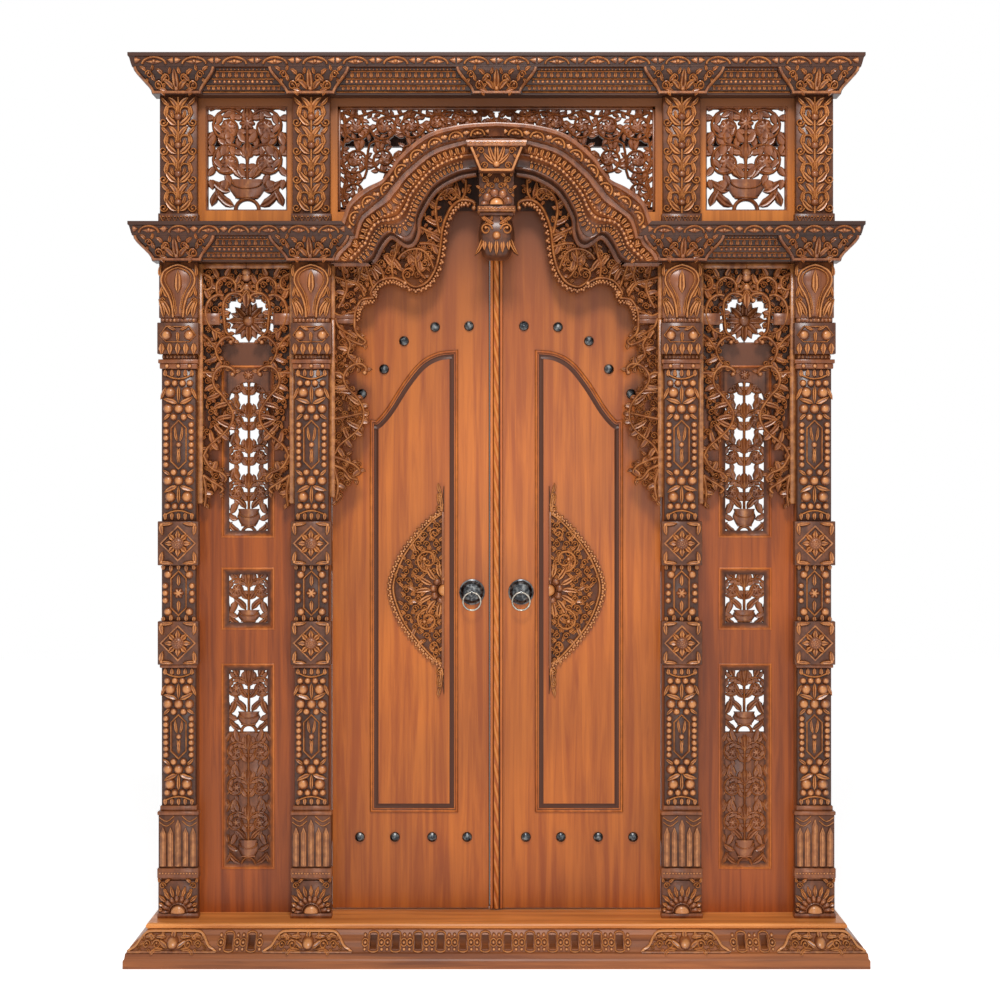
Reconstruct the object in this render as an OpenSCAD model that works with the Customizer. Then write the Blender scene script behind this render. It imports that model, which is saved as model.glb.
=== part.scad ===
// Carved teak double door in its facade frame: sill, four posts, two cornices,
// multifoil arch, pierced panels and two leaves with ring pulls.
// Millimetres, +Z up, front towards -Y, origin at the middle of the footprint.

/* [Posts] */
// Middle of the facade to the axis of an outer post
outer_post_x = 955; // [900:5:1040]
// Middle of the facade to the axis of an inner post
inner_post_x = 556; // [530:2:600]
// Width of the plain post core
post_w = 104; // [92:2:112]
// Height of the lower post, sill to joint line
post_h = 1800; // [1720:10:1900]
// Height of the post head above the joint line
head_h = 168; // [160:2:190]
// Height of the upper post above the middle cornice
upper_h = 387; // [380:1:430]

/* [Base and cornices] */
// Height of the base, floor to sill top
base_h = 121; // [110:1:140]
// Height of a cornice
cornice_h = 112; // [106:1:124]
// Overhang of a cornice past the post fronts
cornice_out = 84; // [76:1:92]
// Step of the base in front of the posts
base_out = 125; // [116:1:140]

/* [Depths behind the post fronts] */
// Back of the posts and of the closed leaves
back_d = 153; // [150:1:156]
// Back edge of the sill and of the rear beam
rear_d = 180; // [176:1:190]
// Thickness of a leaf
leaf_t = 38; // [34:1:40]
// Front of the pierced fretwork
fret_d = 30; // [30:1:34]
// Thickness of the fretwork
fret_t = 25; // [20:1:25]
// Front of the side wings
wing_d = 75; // [72:1:80]
// Thickness of the side wings
wing_t = 35; // [30:1:38]

/* [Leaves] */
// Gap between leaf and post, and between the two leaves
leaf_gap = 2; // [1.5:0.5:3]
// Gap below a leaf
sill_gap = 4; // [3:1:6]
// Height of a leaf
leaf_h = 2146; // [2120:2:2156]
// Width of the carved meeting strip
strip_w = 40; // [36:2:46]
// Height of the ring pulls above the floor
pull_z = 1092; // [1000:2:1180]
// Distance of a ring pull from the middle
pull_x = 75; // [70:1:90]

/* [Ironwork] */
// Radius of a hinge knuckle
knuckle_r = 6; // [5:0.5:7]
// Radius of a hinge pin
pin_r = 3; // [2.5:0.5:3.5]
// Radial play of pins and bolts in their bores
play = 0.06; // [0.03:0.01:0.09]
// Radius of a bolt rod
bolt_r = 5; // [4:0.5:5.5]
// Travel of a bolt
bolt_travel = 18; // [16:1:20]

/* [Hidden] */
$fn = 32;

// levels
z_sill = base_h;
z_head = z_sill + post_h;
z_corn = z_head + head_h;
z_up = z_corn + cornice_h;
z_crown = z_up + upper_h;
// depth of the post fronts in the common frame
y_front = base_out - (base_out + rear_d) / 2;
// half widths
core = post_w / 2;
door_half = inner_post_x - core;
bay_half = (outer_post_x - inner_post_x - post_w) / 2;
bay_x = (outer_post_x + inner_post_x) / 2;
outer_side = outer_post_x + core;
// depth where the plain core of a post begins
core_d = 30;
leaf_d = back_d - leaf_t;
leaf_z = z_sill + sill_gap;
leaf_top = leaf_z + leaf_h;
// meeting line of the leaves lies at the left edge of the strip
meet_x = -strip_w / 2;
// hinge axis
hinge_x = door_half - leaf_gap / 2;
hinge_d = back_d + knuckle_r;
hinge_l = 90;
hinge_zs = [leaf_z + 240, leaf_z + leaf_h / 2, leaf_z + leaf_h - 240];
strap_t = 2.5;
bolt_x = 14;
bolt_d = back_d + 9;
// scale of the curves drawn for the nominal opening
kx = door_half / 504;
ku = bay_half / 147.5;
kz = cornice_h / 112;
kp = post_h / 1800;
kh = head_h / 168;

wood = [0.62, 0.33, 0.14];
gold = [0.70, 0.40, 0.17];
dark = [0.46, 0.24, 0.11];
iron = [0.16, 0.16, 0.18];
steel = [0.55, 0.53, 0.48];

// curve helpers
// smooth curve through the given points, n steps from point to point
function spline_at(p, i, t) =
  let (m = len(p) - 1,
       a = p[max(i - 1, 0)], b = p[i], c = p[min(i + 1, m)], d = p[min(i + 2, m)])
  0.5 * (2 * b + (c - a) * t + (2 * a - 5 * b + 4 * c - d) * t * t
         + (3 * b - a - 3 * c + d) * t * t * t);
function smooth(p, n = 3) = concat(
  [for (i = [0:len(p) - 2]) for (k = [0:n - 1]) spline_at(p, i, k / n)],
  [p[len(p) - 1]]);
// unit normal of a path at point i
function normal(p, i) =
  let (d = p[min(i + 1, len(p) - 1)] - p[max(i - 1, 0)])
  [-d[1], d[0]] / max(norm(d), 0.001);
// path thickened into a band that tapers from w0 to w1
function ribbon(p, w0, w1) =
  let (m = len(p) - 1)
  concat([for (i = [0:m]) p[i] + normal(p, i) * (w0 + (w1 - w0) * i / m) / 2],
         [for (i = [m:-1:0]) p[i] - normal(p, i) * (w0 + (w1 - w0) * i / m) / 2]);
// spiral round c, radius r0 to r1, from angle a0 over the given turns
function spiral(c, r0, r1, a0, turns, n = 16) =
  [for (i = [0:n]) let (t = i / n, a = a0 + turns * 360 * t)
    c + (r0 + (r1 - r0) * t) * [cos(a), sin(a)]];
// pointed leaf from p along angle a, rooted a little behind p
function leaf(p, a, l, w) =
  let (u = [cos(a), sin(a)], v = [-sin(a), cos(a)])
  [p - u * 5, p + u * l * 0.3 + v * w * 0.42, p + u * l * 0.62 + v * w * 0.4, p + u * l,
   p + u * l * 0.62 - v * w * 0.4, p + u * l * 0.3 - v * w * 0.42];
function rise(s) = s * s * (3 - 2 * s);
function scaled(p, k) = [for (q = p) [q[0] * k, z_corn + q[1]]];

module stroke(p, w0 = 9, w1 = 7) polygon(ribbon(smooth(p, 2), w0, w1));
module coil(c, r0, r1, a0, turns, w = 8) {
  polygon(ribbon(spiral(c, r0, r1, a0, turns), w, w * 0.75));
  translate(c + r1 * [cos(a0 + turns * 360), sin(a0 + turns * 360)]) circle(w * 0.8, $fn = 8);
}
module leaf_at(p, a, l = 34, w = 18) polygon(leaf(p, a, l, w));
// row of small lobes on the right of a path
module lobes(p, off, r, step) {
  q = smooth(p, 4);
  for (i = [2:step:len(q) - 3]) translate(q[i] - normal(q, i) * off) circle(r, $fn = 8);
}
module both() {
  children();
  mirror([1, 0]) children();
}
module flip() mirror([1, 0, 0]) children();

// solid helpers
// front view outline carried from depth d0 to d1
module board(d0, d1) translate([0, y_front + d1, 0]) rotate([90, 0, 0])
  linear_extrude(d1 - d0) children();
// united strokes carried from depth d0 to d1
module carving(d0, d1) board(d0, d1) offset(delta = -0.03) offset(delta = 0.01) children();
module block(x0, x1, d0, d1, z0, z1) translate([x0, y_front + d0, z0])
  cube([x1 - x0, d1 - d0, z1 - z0]);
module rect(x0, x1, z0, z1) translate([x0, z0]) square([x1 - x0, z1 - z0]);
// skin over a row of closed sections
module loft(s) {
  n = len(s[0]);
  m = len(s);
  polyhedron(points = [for (r = s) for (q = r) q],
    faces = concat([[for (i = [0:n - 1]) i]],
      [for (j = [0:m - 2]) for (i = [0:n - 1])
        [j * n + i, (j + 1) * n + i, (j + 1) * n + (i + 1) % n, j * n + (i + 1) % n]],
      [[for (i = [n - 1:-1:0]) (m - 1) * n + i]]));
}
// moulding as stacked oblongs, each level [z, left, right, front depth, back depth]
module stack(levels) loft([for (l = levels)
  [[l[1], y_front + l[3], l[0]], [l[2], y_front + l[3], l[0]],
   [l[2], y_front + l[4], l[0]], [l[1], y_front + l[4], l[0]]]]);
module dome(x, d, z, r, h) translate([x, y_front + d, z]) rotate([90, 0, 0])
  rotate_extrude() polygon(concat([[0, -1], [r, -1]],
    [for (a = [0:15:90]) [a == 90 ? 0 : r * cos(a), h * sin(a)]]));
// bead sunk a little into its face
module bead(x, d, z, r) translate([x, y_front + d + r * 0.15, z])
  rotate([90, 0, 0]) sphere(r, $fn = 16);

// base and sill
base_profile = [[0, 80], [0.2, 80], [0.24, 76], [0.36, 74], [0.4, 67], [0.5, 62],
  [0.62, 48], [0.74, 30], [0.84, 20], [0.86, 17]];
// slots between the cartouches of the base
slot_xs = concat([for (i = [-5.5:1:5.5]) i * 66],
  [for (s = [-1, 1]) for (k = [-0.5, 0.5]) s * (bay_x + k * 66)]);
module base_moulding() color(wood) difference() {
  stack([for (p = base_profile) [p[0] * base_h, -outer_post_x - 62 - p[1],
    outer_post_x + 62 + p[1], 80 - base_out - p[1], rear_d]]);
  for (x = slot_xs) block(x - 10, x + 10, -base_out, 62 - base_out, base_h * 0.46, base_h * 0.74);
}
// sill, and a rail behind it that leaves a groove for the bolt
groove = bolt_r + 1.5;
module sill_board() color(wood) stack([
  for (p = [[0.86, 16], [0.88, 21], [0.94, 23], [0.98, 20], [1, 15]])
    [p[0] * base_h, -outer_post_x - 62 - p[1], outer_post_x + 62 + p[1],
     80 - base_out - p[1], bolt_d - groove]]);
module sill_rail() color(wood) block(-outer_post_x - 77, outer_post_x + 77, bolt_d + groove, rear_d,
  base_h * 0.86, base_h);

// lower posts, segments [bottom, top, width, front depth]
segments = [[0, 15, 124, -6], [15, 112, 119, -1], [112, 120, 108, 6], [120, 150, 124, -6],
  [150, 309, 118, 0], [309, 320, 124, -4], [320, 336, 110, 4], [336, 750, 102, 9],
  [750, 760, 112, 2], [760, 890, 122, -4], [890, 1058, 102, 9], [1058, 1190, 122, -4],
  [1190, 1648, 102, 9], [1648, 1664, 112, 2], [1664, 1676, 120, -2], [1676, 1692, 98, 12],
  [1692, 1786, 124, -6], [1786, 1800, 108, 4]];
// bead rows of a shaft [offset from its middle, radius, places across]
bead_rows = [[186, 8.5, [-30, -10, 10, 30]], [157, 13, [-22, 22]],
  [107, 11, [-30, 0, 30]], [82, 9, [-14, 14]]];
shaft_face = 9;
module cartouche(z, hw, hh, d) board(d - 7, d + 1) translate([0, z]) difference() {
  polygon([[-hw, -hh + hw], [0, -hh], [hw, -hh + hw], [hw, hh - hw], [0, hh], [-hw, hh - hw]]);
  polygon([[6 - hw, 8 - hh + hw], [0, 9 - hh], [hw - 6, 8 - hh + hw],
    [hw - 6, hh - hw - 8], [0, hh - 9], [6 - hw, hh - hw - 8]]);
}
module shaft_beads(z0, z1) {
  mid = (z0 + z1) / 2;
  k = (z1 - z0) / 456;
  for (s = [-1, 1]) for (r = bead_rows) for (x = r[2])
    bead(x, shaft_face, mid + s * r[0] * k, r[1]);
  for (x = [-38, 38]) for (i = [-4:4]) bead(x, shaft_face, mid + i * 16 * k, 7.5);
  cartouche(mid, 25, 76 * k, shaft_face);
  dome(0, shaft_face, mid, 9, 7);
  for (s = [-1, 1]) board(shaft_face - 6, shaft_face + 1)
    polygon(leaf([0, mid + s * 172 * k], -90 * s, 48 * k, 15));
}
module rosette(z, d) {
  board(d - 6, d + 1) difference() {
    translate([0, z]) rotate(45) square(78, center = true);
    translate([0, z]) rotate(45) square(68, center = true);
  }
  for (a = [0:45:315]) board(d - (a % 90 == 0 ? 8 : 12), d + 1)
    polygon(leaf([13 * cos(a), z + 13 * sin(a)], a, 24, 21));
  dome(0, d, z, 20, 19);
  for (x = [-44, 44]) for (s = [-1, 1]) board(d - 5, d + 1)
    polygon(leaf([x, z + s * 56], -90 * s, 30, 18));
}
module post() color(gold) {
  block(-core, core, core_d - 1, back_d, z_sill, z_head);
  for (s = segments) block(-s[2] / 2, s[2] / 2, s[3], core_d,
    z_sill + s[0] * kp, z_sill + s[1] * kp);
  shaft_beads(z_sill + 336 * kp, z_sill + 750 * kp);
  shaft_beads(z_sill + 1192 * kp, z_sill + 1648 * kp);
  for (x = [-27, 27]) for (z = [918, 1030]) bead(x, shaft_face, z_sill + z * kp, 13);
  for (x = [-38, 38]) for (z = [950, 974, 998]) bead(x, shaft_face, z_sill + z * kp, 7.5);
  cartouche(z_sill + 974 * kp, 23, 70, shaft_face);
  rosette(z_sill + 825 * kp, -4);
  rosette(z_sill + 1124 * kp, -4);
  // sunburst of the foot
  for (a = [0:22.5:180]) board(-6, 0)
    polygon(leaf([34 * cos(a), z_sill + 20 * kp + 34 * sin(a)], a, 24 + 20 * sin(a), 14));
  intersection() {
    dome(0, -1, z_sill + 17 * kp, 32, 16);
    block(-40, 40, -40, 10, z_sill + 17 * kp, z_sill + 60 * kp);
  }
  // pointed pickets of the pedestal
  for (x = [-45, -22.5, 0, 22.5, 45]) let (z = z_sill + 156 * kp, h = (x == 0 ? 142 : 118) * kp)
    board(-5, 1) polygon([[x - 8.5, z], [x + 8.5, z], [x + 8.5, z + h - 20], [x, z + h],
      [x - 8.5, z + h - 20]]);
  // beads and fringe of the cushion
  for (x = [-34, 34]) bead(x, -6, z_sill + 1748 * kp, 16);
  for (x = [-48, -24, 0, 24, 48]) board(-12, -5)
    polygon(leaf([x, z_sill + 1728 * kp], -90, 30, 21));
  for (x = [-34, 0, 34]) bead(x, 2, z_sill + 1656 * kp, 7.5);
}

// upper posts with the onion-shaped cartouche of the head and the leafy front
module upper_post() color(gold) {
  block(-core, core, core_d, back_d, z_head, z_crown);
  block(-58, 58, 2, core_d, z_head, z_corn);
  block(-56, 56, 4, core_d, z_up, z_crown);
  block(1 - core, core - 1, 20, core_d + 1, z_head + 1, z_corn - 1);
  block(1 - core, core - 1, 20, core_d + 1, z_up + 1, z_crown - 1);
  block(-60, 60, -2, core_d, z_up, z_up + 34);
  carving(-6, 3) translate([0, z_head + 6]) scale([1, kh]) both() {
    stroke([[0, 6], [22, 10], [24, 40], [40, 84], [36, 120], [18, 142], [0, 158]], 8, 8);
    leaf_at([28, 36], 60, 80, 22);
    leaf_at([46, 10], 90, 66, 16);
    leaf_at([0, 20], 90, 110, 26);
  }
  carving(-3, 5) translate([0, z_up + 34]) scale([1, (upper_h - 40) / 346]) {
    rect(-4, 4, 0, 342);
    both() for (i = [0:4]) translate([0, 18 + i * 66]) {
      leaf_at([4, 2], 32, 52, 26);
      leaf_at([4, 24], 62, 50, 22);
      leaf_at([22, 30], 120, 26, 18);
    }
  }
  for (i = [0:4]) dome(0, 4, z_up + 34 + (40 + i * 66) * (upper_h - 40) / 346, 14, 15);
}

// cornices: a recessed run, capitals over the posts, a band with its cap
run_profile = [[0, 10], [0.08, 11], [0.1, 20], [0.22, 22], [0.24, 32], [0.38, 34],
  [0.4, 44], [0.56, 46], [0.58, 54], [0.625, 56], [0.64, 73], [0.68, 74], [0.7, 75],
  [0.88, 80], [0.9, 83], [0.92, 84], [1, 84]];
function out(p) = p * cornice_out / 84;
cap_top = 0.64 * cornice_h;
function cap_out(s) = out(22 + 48 * rise(s));
module capital(z, x, back) stack([for (i = [0:7]) let (s = i / 7, p = cap_out(s))
  [z + s * cap_top + (i == 7 ? 1 : 0), x - core - p, x + core + p, -p - 2, back]]);
// inner end of the middle cornice follows the capital and then the mitre of the arch
function mitre(s) = s < 0.64 ? -inner_post_x : -(366 + (s * 112 - 15) * 93 / 97) * kx - seam;
module cornice() color(wood) difference() {
  union() {
    stack([for (p = run_profile) [z_corn + p[0] * cornice_h, -outer_side - out(p[1]),
      mitre(p[0]), -out(p[1]), back_d]]);
    capital(z_corn, -outer_post_x, 50);
    capital(z_corn, -inner_post_x, 50);
  }
  for (x = [-outer_post_x, -inner_post_x])
    block(x - core, x + core, core_d, rear_d, z_corn - 10, z_up + 10);
  block(-outer_post_x, -inner_post_x, 80, rear_d, z_corn - 10, z_up + 10);
  block(-inner_post_x, 0, core_d, rear_d, z_corn - 10, z_up + 10);
}
module left_cornice() cornice();
module right_cornice() flip() cornice();
module crown_cornice() color(wood) difference() {
  union() {
    stack([for (p = run_profile) [z_crown + p[0] * cornice_h, -outer_side - out(p[1]),
      outer_side + out(p[1]), -out(p[1]), back_d]]);
    for (x = [-outer_post_x, -inner_post_x, 0, inner_post_x, outer_post_x])
      capital(z_crown, x, 50);
  }
  for (s = [-1, 1]) block(s * bay_x - bay_half, s * bay_x + bay_half, 80, rear_d,
    z_crown - 10, z_crown + cornice_h - 16);
  block(-door_half, door_half, 80, rear_d, z_crown - 10, z_crown + cornice_h - 16);
}

// multifoil arch: edge lines of the left half, [distance from the middle, rise]
arch_lip = [[459, 112], [452, 130], [438, 165], [412, 192], [380, 213], [344, 230],
  [329, 244], [312, 267], [282, 309], [204, 369], [108, 396], [0, 404]];
arch_in = [[366, 15], [349, 49], [328, 77], [311, 82], [290, 67], [268, 55],
  [250, 64], [238, 95], [234, 139], [187, 218], [118, 260], [0, 276]];
// share of the first section that is lip, so that it stays a flat mitre
mitre_share = 0.42;
arch_egg = [arch_lip[0] + (arch_in[0] - arch_lip[0]) * mitre_share, [413, 102], [402, 128],
  [378, 150], [352, 172], [327, 195], [314, 213], [297, 232], [266, 266], [190, 325], [102, 353],
  [0, 362]];
// foot block of the arch, fitted to the side of the capital and mitred to the arch
seam = 0.3;
cap_seam = 2.4;
mitre_seam = seam * [0.72, -0.69];
foot_bed = concat([for (s = [0, 0.25, 0.5, 0.75, 1])
    [(door_half - cap_out(s) - cap_seam) / kx, s * arch_egg[0][1]]], [arch_egg[0] + mitre_seam]);
foot_in = concat([[388, 0], [386, 0.5], [382, 2], [378, 4], [372, 8]], [arch_in[0] + mitre_seam]);
lip_profile = [[0, 84], [0.26, 84], [0.3, 78], [0.9, 66], [1, 60]];
bed_profile = [[0, 52], [0.12, 50], [0.15, 42], [0.36, 38], [0.4, 46], [0.47, 50],
  [0.55, 46], [0.6, 30], [0.86, 20], [0.88, 26], [0.96, 24], [1, 12]];
arch_back = 30;
function arch_z(v) = z_corn + v * kz;
// front points between two edge points by a profile, and a point of the flat back
function arch_front(a, b, profile) = [for (p = profile) let (q = a + (b - a) * p[0])
  [-q[0] * kx, y_front - out(p[1]), arch_z(q[1])]];
function arch_rear(a) = [-a[0] * kx, y_front + arch_back, arch_z(a[1])];
// outer lip of the arch, from the mitre to the middle
module arch_lip_strip() {
  o = smooth(arch_lip, 2);
  m = smooth(arch_egg, 2);
  loft([for (k = [0:len(o) - 1]) concat(arch_front(o[k], m[k], lip_profile),
    [arch_rear(m[k]), arch_rear(o[k])])]);
}
// inner bed of the arch, from the mitre to the flank of the keystone
module arch_bed_strip() {
  last = 2 * (len(arch_in) - 2);
  m = concat([for (k = [0:last]) smooth(arch_egg, 2)[k]], [key_flank(bed_end[0])]);
  i = concat([for (k = [0:last]) smooth(arch_in, 2)[k]], [key_flank(bed_end[1])]);
  f = seam / norm(arch_egg[4] - arch_in[4]);
  loft([for (k = [0:len(m) - 1]) let (a = m[k] + (i[k] - m[k]) * f)
    concat(arch_front(a, i[k], bed_profile), [arch_rear(i[k]), arch_rear(a)])]);
}
module arch_foot() {
  loft([for (k = [0:len(foot_bed) - 1]) concat(arch_front(foot_bed[k], foot_in[k], bed_profile),
    [arch_rear(foot_in[k]), arch_rear(foot_bed[k])])]);
}
// keystone: rises of its foot and head with the half widths there, and the bed's end on its flank
key_foot = 256;
key_head = 350;
key_low = 50;
key_high = 86;
bed_end = [352, 266];
function key_flank(v) =
  [key_low + (key_high - key_low) * (v - key_foot) / (key_head - key_foot) + seam, v];
key_top = arch_z(key_head);
key_bot = arch_z(key_foot);
module keystone_outline() polygon([[-key_low, key_bot], [key_low, key_bot], [key_high, key_top],
  [key_high / 2, key_top + 6], [-key_high / 2, key_top + 6], [-key_high, key_top]]);
module arch_moulding() color(wood) {
  arch_lip_strip();
  arch_bed_strip();
  arch_foot();
}
module left_arch_moulding() arch_moulding();
module right_arch_moulding() flip() arch_moulding();

// keystone block and the carved pendant below it
module keystone() color(gold) {
  board(-92, arch_back) keystone_outline();
  board(-104, -86) polygon([[-86, key_top - 20], [86, key_top - 20], [90, key_top], [-90, key_top]]);
  carving(-100, -91) both() {
    stroke([[0, key_bot + 8], [30, key_bot + 18], [46, key_bot + 48], [58, key_top - 24]], 7, 7);
    coil([22, key_top - 40], 15, 5, 200, 1.2, 6);
  }
  dome(0, -92, key_bot + 26, 12, 12);
}
module pendant_block() {
  block(-52, 52, -54, 26, key_bot - 96, key_bot);
  block(-56, 56, -58, 26, key_bot - 112, key_bot - 96);
  block(-50, 50, -50, 26, key_bot - 124, key_bot - 112);
  for (a = [0:30:180]) board(-62, -53)
    polygon(leaf([16 * cos(a), key_bot - 84 + 16 * sin(a)], a, 24 + 26 * sin(a), 16));
  dome(0, -54, key_bot - 80, 18, 12);
  stack([[key_bot - 250, -26, 26, -20, 16], [key_bot - 236, -42, 42, -44, 26],
    [key_bot - 190, -54, 54, -64, 26], [key_bot - 150, -52, 52, -60, 26],
    [key_bot - 124, -44, 44, -46, 26]]);
  for (x = [-36, 36]) bead(x, -56, key_bot - 172, 19);
  for (x = [-40, -20, 0, 20, 40]) board(-58, -30)
    polygon(leaf([x, key_bot - 196], -90, 44 - abs(x) * 0.4, 18));
  dome(0, -57, key_bot - 184, 14.5, 25);
}
module pendant() color(gold) pendant_block();
module rear_beam() color(dark) block(-outer_side, outer_side, back_d, rear_d, z_up + 262, z_up + 305);
board_d = leaf_d - 18;
module arch_backboard() color(dark) board(board_d, leaf_d - 3) {
  o = [for (q = smooth([for (i = [3:len(arch_lip) - 1]) arch_lip[i]], 3))
    [(q[0] - 26) * kx, arch_z(q[1] - 30)]];
  z = z_up + 2;
  polygon(concat([[-door_half, z]], [[-door_half, z + 38], [-440 * kx, z + 38]],
    [for (q = o) if (q[0] > 10) [-q[0], q[1]]],
    [for (i = [len(o) - 1:-1:0]) if (o[i][0] > 10) o[i]],
    [[440 * kx, z + 38], [door_half, z + 38], [door_half, z], [150 * kx, z],
     [150 * kx, z + 54], [-150 * kx, z + 54], [-150 * kx, z]]));
}

// upper storey frames and pierced panels
up_d = 40;
up_t = 34;
up_member = 24;
up_foot = 48;
module upper_side_frame(x) color(wood) board(up_d, up_d + up_t) difference() {
  rect(x - bay_half, x + bay_half, z_up, z_crown);
  rect(x - bay_half + up_member, x + bay_half - up_member, z_up + up_foot, z_crown - up_member);
}
module upper_left_frame() upper_side_frame(-bay_x);
module upper_right_frame() upper_side_frame(bay_x);
module upper_centre_frame() color(wood) board(up_d, up_d + up_t) difference() {
  rect(-door_half, door_half, z_up, z_crown);
  rect(-door_half + up_member, door_half - up_member, z_up + 44, z_crown - up_member);
  rect(-400 * kx, 400 * kx, z_up - 10, z_up + 60);
}
// vase with a stem and paired coils, w wide and h high, bottom middle at the origin
module vase_tree(w, h, rows, sw = 8) {
  intersection() {
    rect(-w / 2 - 6, w / 2 + 6, -6, h + 6);
    tree_strokes(w, h, rows, sw);
  }
}
module tree_strokes(w, h, rows, sw) {
  r = w / 4 + 1;
  vase = min(h * 0.24, w * 0.5);
  pitch = (h - vase) / rows;
  difference() {
    rect(-w, w, -w, h + w);
    rect(-w / 2, w / 2, 0, h);
  }
  rect(-sw / 2, sw / 2, 0, h + 2);
  polygon([[-w * 0.12, -2], [w * 0.12, -2], [w * 0.1, vase * 0.2], [w * 0.22, vase * 0.5],
    [w * 0.2, vase * 0.8], [w * 0.26, vase], [-w * 0.26, vase], [-w * 0.2, vase * 0.8],
    [-w * 0.22, vase * 0.5], [-w * 0.1, vase * 0.2]]);
  for (s = [-1, 1]) scale([s, 1]) {
    for (i = [0:rows - 1]) translate([w / 4, vase + pitch * (i + 0.5)]) {
      coil([0, 0], r, r * 0.3, 180, -1.35, sw);
      leaf_at([-r * 0.2, r * 0.9], 65, pitch * 0.36, w * 0.13);
      leaf_at([r * 0.1, -r * 0.9], -75, pitch * 0.34, w * 0.13);
      leaf_at([-r, r * 0.2], 75, pitch * 0.4, w * 0.1);
    }
    leaf_at([w * 0.1, vase * 0.25], 20, w * 0.42, w * 0.13);
    leaf_at([w * 0.2, vase * 0.6], 10, w * 0.32, w * 0.12);
  }
}
panel_t = 16;
module upper_side_panel(x) color(gold) carving(up_d + 10, up_d + 10 + panel_t)
  translate([x, z_up + up_foot + 6])
    vase_tree((bay_half - up_member - 6) * 2, upper_h - up_foot - up_member - 12, 3, 9);
module upper_left_panel() upper_side_panel(-bay_x);
module upper_right_panel() upper_side_panel(bay_x);
// coils over the arch [distance from the middle, height above the panel foot, radius, turn]
vine = [[428, 52, 44, 1], [428, 138, 45, -1], [428, 226, 46, 1], [340, 226, 45, -1],
  [340, 140, 44, 1], [258, 228, 42, 1], [268, 158, 32, -1], [180, 236, 40, -1],
  [108, 247, 34, 1], [36, 248, 39, -1]];
module upper_centre_panel() color(gold) carving(up_d + 10, up_d + 10 + panel_t) {
  w = door_half - up_member;
  z0 = z_up + 44;
  z1 = z_crown - up_member;
  lip = [for (q = smooth([for (i = [3:len(arch_lip) - 1]) arch_lip[i]], 3))
    [q[0] * kx, arch_z(q[1] - 12)]];
  kv = (z1 - z0) / 276;
  difference() {
    rect(-w, w, z0, z1);
    rect(8 - w, w - 8, z0 + 8, z1 - 8);
    rect(-400 * kx, 400 * kx, z0 - 1, z0 + 20);
  }
  intersection() {
    rect(-w, w, z0, z1);
    both() {
      polygon(ribbon(lip, 22, 22));
      for (v = vine) translate([v[0] * kx, z0 + v[1] * kv]) {
        coil([0, 0], v[2] * kx, v[2] * 0.3, 90 + 90 * v[3], v[3] * 1.4, 9);
        for (t = [0.12, 0.3, 0.5])
          let (a = 90 + 90 * v[3] + v[3] * 504 * t, q = v[2] * (kx + (0.3 - kx) * t))
            leaf_at(q * [cos(a), sin(a)], a + 30 * v[3], 28, 15);
      }
      rect(-1, 30, z1 - 12, z1 - 2);
      stroke([[462 * kx, z0 + 96 * kv], [400 * kx, z0 + 92 * kv], [384 * kx, z0 + 180 * kv],
        [330 * kx, z0 + 180 * kv]]);
    }
  }
}

// side wings between outer and inner post
stile = 67;
low = [z_sill + 131 * kp, z_sill + 756 * kp];
mid_p = [z_sill + 858 * kp, z_sill + 1048 * kp];
tall = [z_sill + 1138 * kp, z_sill + 1662 * kp];
crest = [z_sill + 1728 * kp, z_sill + 1870 * kp];
wing_half = bay_half - stile;
module wing_frame(x) color(wood) board(wing_d, wing_d + wing_t) difference() {
  rect(x - bay_half, x + bay_half, z_sill, z_corn);
  for (o = [low, mid_p, tall, crest]) rect(x - wing_half, x + wing_half, o[0], o[1]);
}
module wing_board(x, o) color(gold) carving(wing_d + 10, wing_d + 10 + panel_t)
  translate([x, o[0] + 6]) children();
module wing_low_panel(x) wing_board(x, low) {
  w = wing_half * 2 - 12;
  h = low[1] - low[0] - 12;
  rect(-w / 2 - 6, w / 2 + 6, -6, h * 0.66);
  translate([0, h * 0.66 + 5]) vase_tree(w, h * 0.34 - 5, 1);
}
// raised vase and coils on the closed lower part of the low panel
module wing_low_relief(x) color(gold) carving(wing_d + 4, wing_d + 11) translate([x, low[0] + 6]) {
  w = wing_half * 2 - 12;
  h = (low[1] - low[0] - 12) * 0.66;
  intersection() {
    rect(2 - w / 2, w / 2 - 2, 2, h - 4);
    tree_strokes(w, h, 3, 8);
  }
}
module wing_small_panel(x) wing_board(x, mid_p)
  vase_tree(wing_half * 2 - 12, mid_p[1] - mid_p[0] - 12, 1);
module wing_tall_panel(x) wing_board(x, tall) {
  w = wing_half * 2 - 12;
  h = tall[1] - tall[0] - 12;
  vase_tree(w, h, 4);
  difference() {
    rect(-w / 2 - 2, w / 2 + 2, h - w * 0.75, h + 2);
    translate([0, h - w * 0.7]) circle(w * 0.4, $fn = 28);
  }
}
// stepped cross with a flower in the head of the wing
module wing_crest(x) wing_board(x, crest) {
  w = wing_half * 2 - 12;
  h = crest[1] - crest[0] - 12;
  u = min(w, h * 1.14);
  difference() {
    rect(-w / 2 - 6, w / 2 + 6, -6, h + 6);
    translate([0, h / 2]) for (q = [[0.5, 0.26], [0.4, 0.4], [0.26, 0.5]])
      rect(-w * q[0], w * q[0], -u * q[1], u * q[1]);
  }
  translate([0, h / 2]) {
    circle(u * 0.14, $fn = 20);
    for (a = [0:45:315]) leaf_at(u * 0.1 * [cos(a), sin(a)], a, u * (a % 90 == 0 ? 0.34 : 0.3), u * 0.2);
    rect(-w / 2 - 2, w / 2 + 2, -4, 4);
  }
}
module left_wing_frame() wing_frame(-bay_x);
module left_wing_crest() wing_crest(-bay_x);
module left_wing_tall_panel() wing_tall_panel(-bay_x);
module left_wing_small_panel() wing_small_panel(-bay_x);
module left_wing_low_panel() {
  wing_low_panel(-bay_x);
  wing_low_relief(-bay_x);
}
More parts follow.
